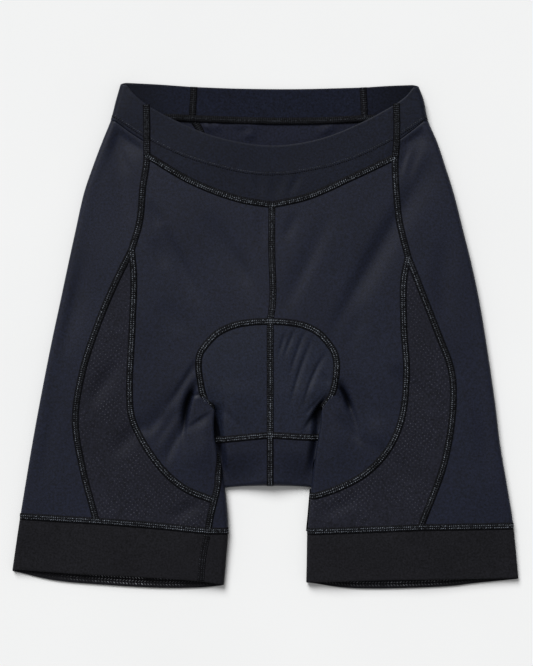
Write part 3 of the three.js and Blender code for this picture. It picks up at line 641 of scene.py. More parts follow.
def patch(left, right, top, bottom, surface, facing):
    """A patch between four borders: left and right run down, top and bottom from left to right."""
    s = np.linspace(0, 1, len(top))[None, :, None]
    t = np.linspace(0, 1, len(left))[:, None, None]
    sides = mix(left[:, None], right[:, None], s) + mix(top[None], bottom[None], t)
    corners = mix(mix(top[0], top[-1], s), mix(bottom[0], bottom[-1], s), t)
    places = sides - corners
    return (*surface(places[..., 0], places[..., 1]), facing)


def side_patch(side, front_ys, back_ys):
    """A patch round a side fold, one row for each pair of heights at its front and its back."""
    ys = mix(front_ys[:, None], back_ys[:, None], (1 - np.cos(HALF_TURN[None])) / 2)
    return (*on_side_fold(side, ys, HALF_TURN[None]), (sign_of(side), 0, 0))


def inner_patch(side, ys, end_ys, start, end, from_back=False):
    """A patch round an inner fold, from one height to another and between two distances along its path."""
    s = np.linspace(0, 1, WRAP_CELLS + 1)[None]
    along = mix(start[:, None], end[:, None], s)
    heights = mix(ys[:, None], end_ys[:, None], s)
    return (*on_inner_fold(side, heights, along, from_back), (-sign_of(side), 0, 0))


def lay_grid(bm, points):
    """Adds a grid of faces through rows of points, and tells each corner's row and column."""
    rows, columns = points.shape[:2]
    made = bmesh.ops.create_grid(bm, x_segments=columns - 1, y_segments=rows - 1, size=1.0)
    spots = {}
    for vert in made["verts"]:
        i = round((vert.co.x + 1) / 2 * (columns - 1))
        j = round((vert.co.y + 1) / 2 * (rows - 1))
        vert.co = Vector(points[j, i]) * MM
        spots[vert] = (j, i)
    return spots


def lay_patch(bm, pattern, points, places, facing):
    """Adds a patch to the mesh, facing outwards, with its places on the pattern."""
    spots = lay_grid(bm, points)
    faces = {face for vert in spots for face in vert.link_faces}
    aim = Vector(facing)
    turned = 0.0
    for face in faces:
        face.normal_update()
        turned += face.normal.dot(aim) * face.calc_area()
        for loop in face.loops:
            loop[pattern].uv = places[spots[loop.vert]] * MM
    if turned < 0:
        bmesh.ops.reverse_faces(bm, faces=list(faces))


# Pieces whose creases get painted shade in their colour and gloss, and the depths where it starts and is
# full.
CREASED = {"front_panel": FRONT_FOLDS, "gusset": GUSSET_FOLDS}
FIRST_SHADE = 2.0
FULL_SHADE = 5.2


def mark_creases(bm, node):
    """Marks how deep each point lies in its piece's creases, for the painted shade at their bottom."""
    mark = bm.verts.layers.float.new("crease")
    places = np.array([vert.co for vert in bm.verts]) / MM
    for kind, folds in CREASED.items():
        if node.startswith(kind):
            depth = -fold_rise(folds, places[:, 0], places[:, 1])
            for vert, shade in zip(bm.verts, ease((depth - FIRST_SHADE) / (FULL_SHADE - FIRST_SHADE))):
                vert[mark] = shade


# Points closer than this are one, faces thinner than this are left out, and how soft cut edges are.
SAME_POINT = 0.02
SLIVER = 0.002
SOFT_EDGE = {"share": 0.4, "segments": 2, "angle": math.radians(55)}


def add_object(name, mesh, material):
    mesh.materials.append(material)
    made = bpy.data.objects.new(name, mesh)
    bpy.context.scene.collection.objects.link(made)
    return made


def object_of(name, bm, material):
    for face in bm.faces:
        face.smooth = True
    mesh = bpy.data.meshes.new(name)
    bm.to_mesh(mesh)
    bm.free()
    return add_object(name, mesh, material)


def cut_cloth(node, patches, material, lining, wall=CLOTH_WALL, lift=0.0):
    """One sewn piece: its patches joined into a sheet, with the cloth's own thickness and soft edges."""
    bm = bmesh.new()
    pattern = bm.loops.layers.uv.new("pattern")
    for one in patches:
        lay_patch(bm, pattern, *one)
    bmesh.ops.remove_doubles(bm, verts=bm.verts, dist=SAME_POINT * MM)
    bmesh.ops.dissolve_degenerate(bm, edges=bm.edges, dist=SLIVER * MM)
    mark_creases(bm, node)
    if lift:
        bm.normal_update()
        for vert, normal in [(vert, vert.normal.copy()) for vert in bm.verts]:
            vert.co += normal * lift * MM
    made = object_of(node + "_cloth", bm, material)
    made.data.materials.append(lining)
    thickness = made.modifiers.new("cloth_wall", "SOLIDIFY")
    thickness.thickness = wall * MM
    thickness.offset = -1.0
    thickness.material_offset = 1
    edges = made.modifiers.new("soft_edge", "BEVEL")
    edges.width = SOFT_EDGE["share"] * wall * MM
    edges.segments = SOFT_EDGE["segments"]
    edges.limit_method = "ANGLE"
    edges.angle_limit = SOFT_EDGE["angle"]
    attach(made, "root")
    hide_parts(node)
    return made


# Sewing

UNEVEN = np.random.default_rng(11)

# Half of a tape's cross-section, from its edge to its middle: out and up. Some tapes are lower.
TAPE_PROFILE = [(3.3, -0.35), (3.2, 0.2), (1.6, 0.36), (0.4, 0.24)]
TAPE_STEP = 1.6
TAPE_LOW = {"back": 0.7, "hem": 0.6}
TAPE_JOIN = 0.01

# Sizes of cover bars, stitches, gripper dashes, the topstitching's threads and the black marks that
# paint the shade of its dents, and how unevenly they are set.
BAR = {"length": 0.9, "width": 7.4, "height": 0.5, "pitch": 1.9}
STITCH = {"length": 1.7, "width": 0.65, "height": 0.6, "pitch": 2.0}
DASH = {"length": 2.8, "width": 0.65, "height": 0.5, "pitch": 2.9}
NEEDLE = {"length": 1.6, "width": 0.75, "height": 0.4, "pitch": 2.1}
NEEDLE_DENT_SHADE = {"length": 1.9, "width": 1.15, "height": 0.3, "pitch": 2.1}
SPREAD = {"aside": 0.12, "length": (0.7, 1.2), "slant": (0.6, 1.4)}

# How far threads lie above their line.
LIFT = {
    "cover": 0.25, "light": 0.42, "dim": 0.38, "inside": 0.36, "back": 0.14, "needle": 0.08, "dent_shade": 0.06,
    "hem": 0.1,
}

# Rows of light and dim stitches of each kind of seam, as offsets from its middle line, and how far
# their threads slant, in radians.
ROWS = {
    "even": {"light": (-1.1, 1.1), "dim": (), "slant": 0.4},
    "centre": {"light": (0.1,), "dim": (-1.9, 2.1), "slant": 0.5},
    "yoke": {"light": (0.4, -1.3), "dim": (), "slant": 0.9},
    "princess": {"light": (-1.0,), "dim": (1.2,), "slant": 0.4},
    "inseam": {"light": (1.4,), "dim": (-0.9,), "slant": 0.5},
    "dim": {"light": (), "dim": (-1.5, 0.0, 1.5), "slant": 0.6},
    "inside": {"dim": (0.0,), "slant": 0.35},
    "back": {"dim": (-1.1, 1.1), "slant": 0.35},
    "hem": {"dim": (-2.2, 0.0, 2.2), "slant": 0.45},
}

# Where some of the seams begin and end, and in how many steps lines are drawn.
GUSSET_SEAM_SHOWN = (-50.0, 54.0)
ARCH_END = {"sunk": 1.3, "cells": 1.2, "hidden": 2}
INSEAM_TOP = {"left": -130.0, "right": -142.0}
LEFT_INSEAM_START = -108.0
HEM_JOIN = {"start": 3.5, "end": 46.0, "sunk": 0.12}
LINE_STEPS = 60
TOPSTITCH_STEPS = 200
LOWER_STEPS = 20
SHORT_STEPS = 12
ROUND_STEPS = 9
INSIDE_SEAM_CELLS = 6
INSIDE_SEAM_RISE = 0.3

# Where the topstitching crosses onto the waistband's sides, and how far apart its two rows lie.
BAND_CROSSING = (-110.0, 121.6)
NEEDLE_GAP = 1.9

# Rows of gripper dashes, by their distance from the leg's end, how the dashes slant, and how many
# points of the leg's end stay free at either side.
GRIPPER_ROWS = (3.0, 5.8, 8.6, 11.4)
GRIPPER_SLANT = 0.7
GRIPPER_FREE = 3


def line_on(height, places, sense=1.0, rise=0.0):
    """Points on a surface with their directions out of it; a sense of -1 is for one seen from below."""
    x, y = places.T
    step = 0.6
    dx = (height(x + step, y) - height(x - step, y)) / (2 * step)
    dy = (height(x, y + step) - height(x, y - step)) / (2 * step)
    normal = np.stack([-dx, -dy, np.ones_like(dx)], -1) * sense
    points = np.column_stack([x, y, height(x, y) + rise])
    return points, normal / np.linalg.norm(normal, axis=-1, keepdims=True)


def line_on_front(places):
    return line_on(front_height, places)


def line_on_gusset(places):
    return line_on(gusset_height, places)


def line_on_back(places):
    return line_on(back_height, places, sense=-1.0)


def line_inside_back(places, wall):
    return line_on(back_height, places, rise=wall)


def round_fold(turn, x=0.0, y=0.0):
    """Directions out of a fold that faces along x and y halfway round."""
    return np.column_stack([x * np.sin(turn), y * np.sin(turn), np.cos(turn)])


def line_round_side(side, from_y, to_y):
    points = on_side_fold(side, mix(from_y, to_y, (1 - np.cos(HALF_TURN)) / 2), HALF_TURN)[0]
    return points, round_fold(HALF_TURN, x=sign_of(side))


def line_round_inner(side, ys, along):
    turn = np.clip(along / look_up(INNER_FOLD, "radius", ys), 0, math.pi)
    return on_inner_fold(side, ys, along)[0], round_fold(turn, x=-sign_of(side))


def line_round_crotch(x):
    return on_crotch(np.full_like(HALF_TURN, x), HALF_TURN)[0], round_fold(HALF_TURN, y=-1.0)


def raised(line, rise):
    """The same line, further out from the cloth."""
    points, normals = line
    return points + normals * rise, normals


def joined(*lines):
    return chain(*(points for points, _ in lines)), chain(*(normals for _, normals in lines))


def stations(line, pitch):
    """Evenly spaced places along a line, with their forward, sideways and outward directions."""
    points, normals = line
    way = way_along(points)
    stops = np.linspace(0, way[-1], max(2, round(way[-1] / pitch)) + 1)
    at = read_off(points, way, stops)
    out = read_off(normals, way, stops)
    forward = np.gradient(at, axis=0)
    forward /= np.linalg.norm(forward, axis=1, keepdims=True)
    out -= forward * (out * forward).sum(1, keepdims=True)
    out /= np.linalg.norm(out, axis=1, keepdims=True)
    return at, forward, np.cross(out, forward), out


def make_tape(name, lines, material, low=1.0):
    """Flat strips of sewing along some lines: a cross-section drawn along each, its ends closed."""
    bm = bmesh.new()
    first_half = [(-across, up) for across, up in TAPE_PROFILE]
    section = np.array([*first_half, *TAPE_PROFILE[::-1], first_half[0]])
    lifted = np.where(section[:, 1] > 0, section[:, 1] * low, section[:, 1])
    for line in lines:
        at, _, across, out = stations(line, TAPE_STEP)
        points = at[:, None] + across[:, None] * section[None, :, :1] + out[:, None] * lifted[None, :, None]
        points[..., 2] = np.maximum(points[..., 2], LOWEST)
        lay_grid(bm, points)
    bmesh.ops.remove_doubles(bm, verts=bm.verts, dist=TAPE_JOIN * MM)
    bmesh.ops.holes_fill(bm, edges=[edge for edge in bm.edges if edge.is_boundary])
    bmesh.ops.recalc_face_normals(bm, faces=bm.faces)
    return object_of(name, bm, material)


def bead_shape():
    """A small rounded stitch, of a few faces."""
    bm = bmesh.new()
    bmesh.ops.create_icosphere(bm, subdivisions=1, radius=0.5)
    bm.verts.ensure_lookup_table()
    corners = np.array([vert.co[:] for vert in bm.verts])
    faces = np.array([[vert.index for vert in face.verts] for face in bm.faces])
    bm.free()
    return corners, faces


BEAD_CORNERS, BEAD_FACES = bead_shape()


def set_beads(middle, ahead, out, size, length):
    """Corners of stitches, each laid at its middle and along its own directions."""
    x, y, z = (BEAD_CORNERS[None, :, n : n + 1] for n in range(3))
    aside = np.cross(out, ahead)
    return (
        middle[:, None]
        + ahead[:, None] * x * length
        + aside[:, None] * y * size["width"]
        + out[:, None] * z * size["height"]
    )


def beads(line, size, offset=0.0, lift=0.0, slant=0.0):
    """Corners of a row of slightly uneven stitches along a line."""
    at, forward, across, out = stations(line, size["pitch"])
    count = len(at) - 1
    shift = offset + UNEVEN.normal(0, SPREAD["aside"], (count, 1))
    length = size["length"] * UNEVEN.uniform(*SPREAD["length"], (count, 1, 1))
    middle = (at[1:] + at[:-1]) / 2 + across[:-1] * shift + out[:-1] * lift
    lean = slant * UNEVEN.uniform(*SPREAD["slant"], (count, 1))
    ahead = forward[:-1] * np.cos(lean) + across[:-1] * np.sin(lean)
    corners = set_beads(middle, ahead, out[:-1], size, length)
    corners[..., 2] = np.maximum(corners[..., 2], LOWEST)
    return corners


def join_beads(name, rows, material):
    """All the rows of stitches as one mesh."""
    corners = np.concatenate(rows) * MM
    count = len(corners)
    faces = (BEAD_FACES[None] + np.arange(count)[:, None, None] * len(BEAD_CORNERS)).reshape(-1, 3)
    mesh = bpy.data.meshes.new(name)
    mesh.from_pydata(corners.reshape(-1, 3).tolist(), [], faces.tolist())
    mesh.polygons.foreach_set("use_smooth", np.ones(len(faces), bool))
    return add_object(name, mesh, material)


# Materials


def linear(red, green, blue):
    """A colour as seen on a screen, 0 to 255, as light."""
    shares = (level / 255 for level in (red, green, blue))
    return tuple(((v + 0.055) / 1.055) ** 2.4 if v > 0.04045 else v / 12.92 for v in shares)


class Signal:
    """A value that varies over a material, put together with ordinary arithmetic."""

    def __init__(self, tree, socket):
        self.tree = tree
        self.socket = socket

    def __add__(self, other):
        return maths(self.tree, "ADD", self, other)

    def __sub__(self, other):
        return maths(self.tree, "SUBTRACT", self, other)

    def __rsub__(self, other):
        return maths(self.tree, "SUBTRACT", other, self)

    def __mul__(self, other):
        return maths(self.tree, "MULTIPLY", self, other)

    def by(self, operation, other=0.0):
        return maths(self.tree, operation, self, other)


def feed(tree, entry, value):
    """Links an input to what varies, or sets it to a plain number."""
    value = getattr(value, "socket", value)
    if isinstance(value, bpy.types.NodeSocket):
        tree.links.new(value, entry)
    else:
        entry.default_value = value


def maths(tree, operation, first, second):
    made = tree.nodes.new("ShaderNodeMath")
    made.operation = operation
    feed(tree, made.inputs[0], first)
    feed(tree, made.inputs[1], second)
    return Signal(tree, made.outputs[0])


def add_node(tree, kind, **settings):
    made = tree.nodes.new("ShaderNode" + kind)
    for name, value in settings.items():
        if hasattr(made, name):
            setattr(made, name, value)
        else:
            made.inputs[name.replace("_", " ")].default_value = value
    return made


def finish_for(name, roughness, specular, sheen=0.0, sheen_tint=(0.5, 0.55, 0.65)):
    """A material with its shader, set up for cloth or thread."""
    material = bpy.data.materials.new(name)
    material.use_nodes = True
    tree = material.node_tree
    shader = tree.nodes["Principled BSDF"]
    shader.inputs["Roughness"].default_value = roughness
    shader.inputs["Specular IOR Level"].default_value = specular
    shader.inputs["Sheen Weight"].default_value = sheen
    shader.inputs["Sheen Roughness"].default_value = 0.45
    shader.inputs["Sheen Tint"].default_value = (*sheen_tint, 1.0)
    return material, tree, shader


def ranged(tree, value, low, high, first=0.0, last=1.0, easing="LINEAR"):
    """A value taken from between low and high to between first and last."""
    ramp = add_node(tree, "MapRange", interpolation_type=easing)
    for name, level in (("From Min", low), ("From Max", high), ("To Min", first), ("To Max", last)):
        ramp.inputs[name].default_value = level
    feed(tree, ramp.inputs["Value"], value)
    return Signal(tree, ramp.outputs[0])


def noise_between(tree, vector, size, contrast):
    """Noise from 0 to 1 over `size` millimetres."""
    noise = add_node(tree, "TexNoise", Scale=1.0 / (size * MM), Detail=3.0, Roughness=0.6)
    tree.links.new(vector, noise.inputs["Vector"])
    return ranged(tree, noise.outputs["Fac"], 0.5 - 0.5 / contrast, 0.5 + 0.5 / contrast)


def blended(tree, share, first, second):
    """A colour between two others; each is a colour or a socket."""
    blend = add_node(tree, "Mix", data_type="RGBA")
    feed(tree, blend.inputs[0], share)
    for entry, colour in ((blend.inputs[6], first), (blend.inputs[7], second)):
        feed(tree, entry, (*colour, 1.0) if isinstance(colour, tuple) else colour)
    return blend.outputs[2]


def mottled(tree, vector, dark, light, size, contrast=1.6):
    """Colour that drifts between two near shades over `size` millimetres."""
    return blended(tree, noise_between(tree, vector, size, contrast), dark, light)


def speckled(tree, shader, vector, shade, size, amount, shadow=1.0):
    """Darkens and lightens a shade a little, yarn by yarn, under even light or a painted shadow."""
    grain = noise_between(tree, vector, size, 2.0)
    scaled = add_node(tree, "VectorMath", operation="SCALE")
    feed(tree, scaled.inputs[0], shade)
    feed(tree, scaled.inputs["Scale"], (grain * (2 * amount) + (1 - amount)) * shadow)
    tree.links.new(scaled.outputs[0], shader.inputs["Base Color"])


def bump_from(tree, shader, height, depth, strength):
    bump = add_node(tree, "Bump", Strength=strength, Distance=depth * MM)
    feed(tree, bump.inputs["Height"], height)
    tree.links.new(bump.outputs[0], shader.inputs["Normal"])


def knit_height(u, v, wale, course):
    """Relief of a fine knit: upright ribs crossed by rows of loops."""
    rib = (u * (2 * math.pi / (wale * MM))).by("SINE")
    row = v * (2 * math.pi / (course * MM)) + rib.by("ABSOLUTE") * 2.0
    return rib + row.by("SINE") * 0.7


def pattern_axes(tree):
    """Places across and along a piece's own pattern."""
    place = add_node(tree, "UVMap", uv_map="pattern")
    split = tree.nodes.new("ShaderNodeSeparateXYZ")
    tree.links.new(place.outputs[0], split.inputs[0])
    return Signal(tree, split.outputs[0]), Signal(tree, split.outputs[1])


def object_place(tree):
    return tree.nodes.new("ShaderNodeTexCoord").outputs["Object"]


def distance_out(tree, place):
    """Distance from the shorts' middle line."""
    split = tree.nodes.new("ShaderNodeSeparateXYZ")
    tree.links.new(place, split.inputs[0])
    return Signal(tree, split.outputs[0]).by("ABSOLUTE")


def side_shadow(tree, place, start=72, full=124, least=0.55):
    """Painted shade inside the waist: a factor that darkens the colour most where the band turns at the
    sides.
    """
    return ranged(tree, distance_out(tree, place), start * MM, full * MM, 1.0, least, "SMOOTHSTEP")


def crease_light(tree, least):
    """Painted crease shade: a factor on colour and gloss, from 1 on open cloth down to `least` at a crease's
    bottom.
    """
    mark = add_node(tree, "Attribute", attribute_name="crease")
    return 1.0 - Signal(tree, mark.outputs["Fac"]) * (1 - least)


def jersey_finish(name, dark, light, specular, paints_waist_shade=False):
    """Satin knit: fine upright ribs, slow drifts of colour, a slight yarn speckle, and painted shade in its
    creases or, on linings, inside the waist.
    """
    material, tree, shader = finish_for(name, roughness=0.52, specular=specular, sheen=0.03)
    u, v = pattern_axes(tree)
    place = object_place(tree)
    shade = mottled(tree, place, linear(*dark), linear(*light), size=70)
    # Painted shade: creases darken the colour and the gloss; linings take the waist's painted shade in their
    # colour instead.
    lit = crease_light(tree, least=0.15)
    shadow = side_shadow(tree, place) if paints_waist_shade else lit
    speckled(tree, shader, place, shade, size=1.9, amount=0.75, shadow=shadow)
    feed(tree, shader.inputs["Specular IOR Level"], lit * specular)
    bump_from(tree, shader, knit_height(u, v, wale=0.55, course=0.4), depth=0.05, strength=0.25)
    return material


# Dots of the mesh: rows and columns, their slant, and where a dot starts and is full.
DOTS = {"row": 2.4, "column": 4.9, "slant": math.radians(-8), "rim": 0.55, "heart": 0.28}


def mesh_dots(u, v):
    """A mask of small dots in staggered, slightly slanting rows."""
    cos, sin = math.cos(DOTS["slant"]), math.sin(DOTS["slant"])
    rows = (v * cos - u * sin) * (1 / (DOTS["row"] * MM))
    row = rows.by("FLOOR")
    columns = (u * cos + v * sin) * (1 / (DOTS["column"] * MM)) + row.by("ABSOLUTE").by("MODULO", 2.0) * 0.5
    across = (columns.by("FRACT") - 0.5) * DOTS["column"]
    down = (rows - row - 0.5) * DOTS["row"]
    away = (across * across + down * down).by("SQRT")
    return ranged(u.tree, away, DOTS["rim"], DOTS["heart"])


def mesh_finish():
    """Black open knit with small lighter dots, seen more in some places."""
    material, tree, shader = finish_for(
        "black_mesh", roughness=0.7, specular=0.14, sheen=0.05, sheen_tint=(0.6, 0.6, 0.62)
    )
    u, v = pattern_axes(tree)
    mask = mesh_dots(u, v)
    place = object_place(tree)
    shade = mottled(tree, place, linear(17, 18, 27), linear(24, 25, 35), size=60)
    seen = mask * noise_between(tree, place, size=24, contrast=3.0)
    dotted = blended(tree, seen, shade, linear(64, 65, 73))
    speckled(tree, shader, place, dotted, size=2.0, amount=0.7)
    relief = mask * -1.5 + knit_height(u, v, wale=1.3, course=0.9)
    bump_from(tree, shader, relief, depth=0.08, strength=0.35)
    return material


def elastic_finish():
    """Matte black elastic with faint slanting ribs."""
    material, tree, shader = finish_for(
        "black_elastic", roughness=0.78, specular=0.12, sheen=0.04, sheen_tint=(0.6, 0.6, 0.6)
    )
    u, v = pattern_axes(tree)
    ribs = ((u + v * 0.7) * (2 * math.pi / (1.1 * MM))).by("SINE")
    place = object_place(tree)
    shade = mottled(tree, place, linear(16, 16, 20), linear(22, 22, 26), size=45)
    speckled(tree, shader, place, shade, size=1.7, amount=0.75)
    bump_from(tree, shader, ribs, depth=0.06, strength=0.3)
    return material


def thread_finish(name, dark, light, roughness, specular, contrast=4.0):
    """Twisted thread: painted glints where fibres catch the light, and stretches painted brighter or darker
    at random, as if turned to or from the light.
    """
    material, tree, shader = finish_for(name, roughness, specular)
    place = object_place(tree)
    shade = mottled(tree, place, linear(*dark), linear(*light), size=1.4, contrast=contrast)
    # Painted light: slow brightening and darkening along the seam, as if some stretches faced the light.
    speckled(tree, shader, place, shade, size=22, amount=0.4)
    grain = add_node(tree, "TexNoise", Scale=1 / (0.3 * MM), Detail=2.0)
    tree.links.new(place, grain.inputs["Vector"])
    bump_from(tree, shader, grain.outputs["Fac"], depth=0.05, strength=0.4)
    return material


# How strongly the gripper's painted shine shows: most in the middle of each leg, and gone at this distance
# from there.
LEG_MIDDLE = 122.0
GRIPPER_SHINE_FADE = {"middle": 1.5, "fade": 50.0}


def gripper_finish():
    """Clear rubber dashes, their shine painted in as light grey, strongest in the middle of each hem and
    fading toward its ends.
    """
    material, tree, shader = finish_for("silicone_gripper", roughness=0.4, specular=0.3)
    place = object_place(tree)
    # Painted highlight: the light grey stands in for the shine of the clear rubber dashes.
    shade = mottled(tree, place, linear(20, 20, 24), linear(190, 193, 202), size=2.2, contrast=3.0)
    away = (distance_out(tree, place) - LEG_MIDDLE * MM).by("ABSOLUTE")
    clear = GRIPPER_SHINE_FADE["middle"] - away * (1 / (GRIPPER_SHINE_FADE["fade"] * MM))
    seen = clear * noise_between(tree, place, size=20, contrast=3.0)
    tree.links.new(blended(tree, seen, linear(13, 13, 17), shade), shader.inputs["Base Color"])
    return material


# Knits, with their dark and light shades as on a screen, their gloss, and whether painted shade darkens them
# inside the waist.
JERSEY = jersey_finish("navy_jersey", (11, 15, 30), (18, 22, 37), 0.21)
BAND_JERSEY = jersey_finish("navy_waistband", (9, 13, 26), (14, 18, 31), 0.14)
BAND_LINING = jersey_finish("navy_waistband_lining", (11, 15, 29), (16, 20, 34), 0.08, paints_waist_shade=True)
WRONG_SIDE = jersey_finish("jersey_wrong_side", (14, 17, 31), (20, 23, 38), 0.12, paints_waist_shade=True)
GUSSET_JERSEY = jersey_finish("navy_gusset", (13, 18, 33), (20, 25, 40), 0.22)
MESH = mesh_finish()
ELASTIC = elastic_finish()

# Threads, with their dark and light shades, the light one partly the thread's own grey and partly painted
# glint, their roughness and gloss.
LIGHT_THREAD = thread_finish("light_thread", (12, 14, 18), (124, 131, 141), 0.5, 0.2, contrast=6.0)
DIM_THREAD = thread_finish("dim_thread", (8, 9, 11), (64, 68, 75), 0.5, 0.2, contrast=6.0)
DARK_THREAD = thread_finish("dark_thread", (6, 6, 8), (34, 37, 43), 0.6, 0.1)
TAPE = thread_finish("seam_tape", (6, 6, 8), (15, 15, 18), 0.7, 0.05)
HEM_TAPE = thread_finish("hem_tape", (7, 7, 9), (17, 17, 20), 0.7, 0.06)
HEM_THREAD = thread_finish("hem_thread", (10, 10, 13), (60, 63, 70), 0.6, 0.15)
GRIPPER = gripper_finish()

# What each cloth shows on its wrong side, where that differs.
LININGS = {JERSEY: WRONG_SIDE, GUSSET_JERSEY: WRONG_SIDE, BAND_JERSEY: BAND_LINING}


# The cut pieces


def share(points):
    return (points[:, 1] - points[0, 1]) / (points[-1, 1] - points[0, 1])


def lines_of(side, fine):
    """All seam lines of one side, as points."""
    lines = {name: seam(side, name, CELLS[name] * fine) for name in SEAMS[side]}
    for name in ("bandTop", "bandEdge", "hemSide", "edgeFront"):
        lines[name][-1] = side_tangent(side, lines[name][-1:, 1])[0]
    for name in ("bandTopBack", "bandEdgeBack", "hemBack", "edgeBack"):
        lines[name][0] = side_tangent(side, lines[name][:1, 1])[0]
    lines["yokeSeam"] = curve(YOKE_SEAM[side], CELLS["yokeSeam"] * fine)
    lines["centreFront"] = curve(CENTRE_FRONT, CELLS["centreFront"] * fine)
    lines["centreArch"] = curve(CENTRE_ARCH, (CELLS["archSide"] + CELLS["gussetSide"]) * fine)
    hook = sorted(HOOK["y"], reverse=True)
    hook[0] = SEAMS[side]["archSide"][-1][1]
    inner_end = SEAMS[side]["inner"][-1][1]
    hem_y = SEAMS[side]["hemMesh"][-1][1]
    under_start = sign_of(side) * SEAMS[side]["lowerSide"][-1][0]
    lines["hookYs"] = subdivided(hook, fine)
    lines["hookEndYs"] = np.linspace(hook[-1], inner_end, CELLS["hookEnd"] * fine + 1)
    lines["inseamYs"] = np.linspace(inner_end, hem_y, CELLS["inseam"] * fine + 1)
    lines["legYs"] = np.concatenate([lines["hookEndYs"], lines["inseamYs"][1:]])
    lines["underX"] = np.linspace(under_start, MIDDLE_X, CELLS["gussetSeam"] * fine + 1)
    return lines


LINES = {side: lines_of(side, FINE) for side in SIDES}
CREASED_LINES = {side: lines_of(side, CREASED_FINE) for side in SIDES}


def wrap_side(side, front_row, back_row, front_top, back_top, front_bottom, back_bottom):
    """The cloth of one side from a front seam, round the side fold, to a back seam."""
    steps = (share(front_row) + share(back_row)) / 2
    fronts = mix(front_top[-1, 1], front_bottom[-1, 1], steps)
    backs = mix(back_top[0, 1], back_bottom[0, 1], steps)
    return [
        patch(front_row, side_tangent(side, fronts), front_top, front_bottom, on_front, UP),
        side_patch(side, fronts, backs),
        patch(side_tangent(side, backs), back_row, back_top, back_bottom, on_back, DOWN),
    ]


def across_both(name):
    """A seam of both sides as one line over the middle, from left to right."""
    return chain(LINES["left"][name], LINES["right"][name][::-1])


def yoke_patches():
    left, right = (chain(LINES[side]["bandSeam"], LINES[side]["yokeSide"]) for side in SIDES)
    top = curve(FRONT_TOP, 2 * CELLS["yokeSeam"] * FINE)
    return [patch(left, right, top, across_both("yokeSeam"), on_front, UP)]


def band_patches(side):
    lines = LINES[side]
    edge = seam(side, "bandEdge", CELLS["bandTop"] * FINE)
    edge[-1] = side_tangent(side, edge[-1:, 1])[0]
    return wrap_side(
        side, lines["bandSeam"], lines["backBand"], lines["bandTop"], lines["bandTopBack"], edge,
        lines["bandEdgeBack"],
    )


def side_patches(side):
    lines = LINES[side]
    front_row = chain(lines["yokeSide"], lines["princess"], lines["outer"])
    return wrap_side(
        side, front_row, lines["backPrincess"], lines["bandEdge"], lines["bandEdgeBack"],
        lines["hemSide"], lines["hemBack"],
    )


def hook_end(y):
    """How far the front cloth goes round the leg's inner edge."""
    turned = np.radians(look_up(HOOK, "turn", y)) * look_up(INNER_FOLD, "radius", y)
    return turned + look_up(HOOK, "lap", y)


def front_patches(side):
    lines = CREASED_LINES[side]
    left = chain(lines["princess"], lines["inner"])
    right = chain(
        lines["centreFront"], lines["shoulder"], lines["archSide"],
        inner_tangent(side, lines["hookYs"]), inseam_line(side, lines["hookEndYs"]),
    )
    top = lines["yokeSeam"]
    bottom = np.repeat(left[-1:], len(top), axis=0)
    rows = lines["hookYs"]
    end = hook_end(rows)
    if side == "right":
        last = rows[-1]
        rows = np.concatenate([rows, lines["hookEndYs"][1:]])
        end = np.where(rows > last, hook_end(rows), inseam_along(side, rows))
    return [
        patch(left, right, top, bottom, on_front, UP),
        inner_patch(side, rows, rows, np.zeros_like(rows), end),
    ]


def mesh_patches(side):
    lines = LINES[side]
    bottom = lines["hemMesh"]
    ys = lines["inseamYs"]
    top = np.repeat(lines["outer"][:1], len(bottom), axis=0)
    patches = [patch(lines["outer"], chain(lines["inner"], inseam_line(side, ys)), top, bottom, on_front, UP)]
    if side == "right":
        patches.append(inner_patch(side, ys, ys, np.zeros_like(ys), inseam_along(side, ys)))
    return patches


def arch_patches(side):
    lines = CREASED_LINES[side]
    return [patch(
        chain(lines["archSide"], lines["gussetSide"]), lines["centreArch"],
        lines["shoulder"][::-1], lines["gussetSeam"], on_gusset, UP,
    )]


def crotch_tangent(lines):
    x = lines["underX"]
    return np.column_stack([x, crotch_y(x) + crotch_radius(x)])


def under_edge(lines):
    x = lines["underX"]
    return np.column_stack([x, crotch_y(x) + CROTCH["under"]])


def lower_patches(side):
    lines = CREASED_LINES[side]
    tangent = crotch_tangent(lines)
    edge = under_edge(lines)
    left = lines["lowerSide"].copy()
    left[-1] = tangent[0]
    right = curve([CENTRE_ARCH[-1], tangent[-1]], CELLS["lowerSide"] * CREASED_FINE)
    turn, x = np.meshgrid(HALF_TURN, lines["underX"], indexing="ij")
    steps = np.linspace(0, 1, FINE + 1)[:, None]
    under_left = mix(tangent[:1], edge[:1], steps)
    under_right = mix(tangent[-1:], edge[-1:], steps)
    return [
        patch(left, right, lines["gussetSeam"], tangent, on_gusset, UP),
        (*on_crotch(x, turn), (0, -1, 0)),
        patch(under_left, under_right, tangent, edge, on_flat_back, DOWN),
    ]


def back_patches(side):
    lines = LINES[side]
    edge = under_edge(lines)[::-1]
    centre = curve([*CENTRE_BACK[:-1], edge[0]], CELLS["centreBack"] * FINE)
    ys = lines["legYs"]
    tangent = inner_tangent(side, ys)
    bottom = lines["hemBackInner"].copy()
    bottom[-1] = tangent[-1]
    right = np.vstack([chain(centre, edge), tangent])
    left = spaced(lines["backPrincess"], len(right) - 1)
    return [
        patch(left, right, lines["backSeam"], bottom, on_flat_back, DOWN),
        inner_patch(side, ys, ys, inseam_along(side, ys), inner_arc(ys), True),
    ]


def back_band_patches():
    left, right = (LINES[side]["backBand"] for side in SIDES)
    top = curve(BACK_TOP, 2 * CELLS["backSeam"] * FINE)
    return [patch(left, right, top, across_both("backSeam"), on_flat_back, DOWN)]


def hem_borders(side):
    """Top and bottom of a hem band's front, then of its back."""
    lines = LINES[side]
    seam_front = chain(lines["hemMesh"][::-1], lines["hemSide"])
    seam_back = chain(lines["hemBack"], lines["hemBackInner"])
    return seam_front, lines["edgeFront"].copy(), seam_back, lines["edgeBack"].copy()


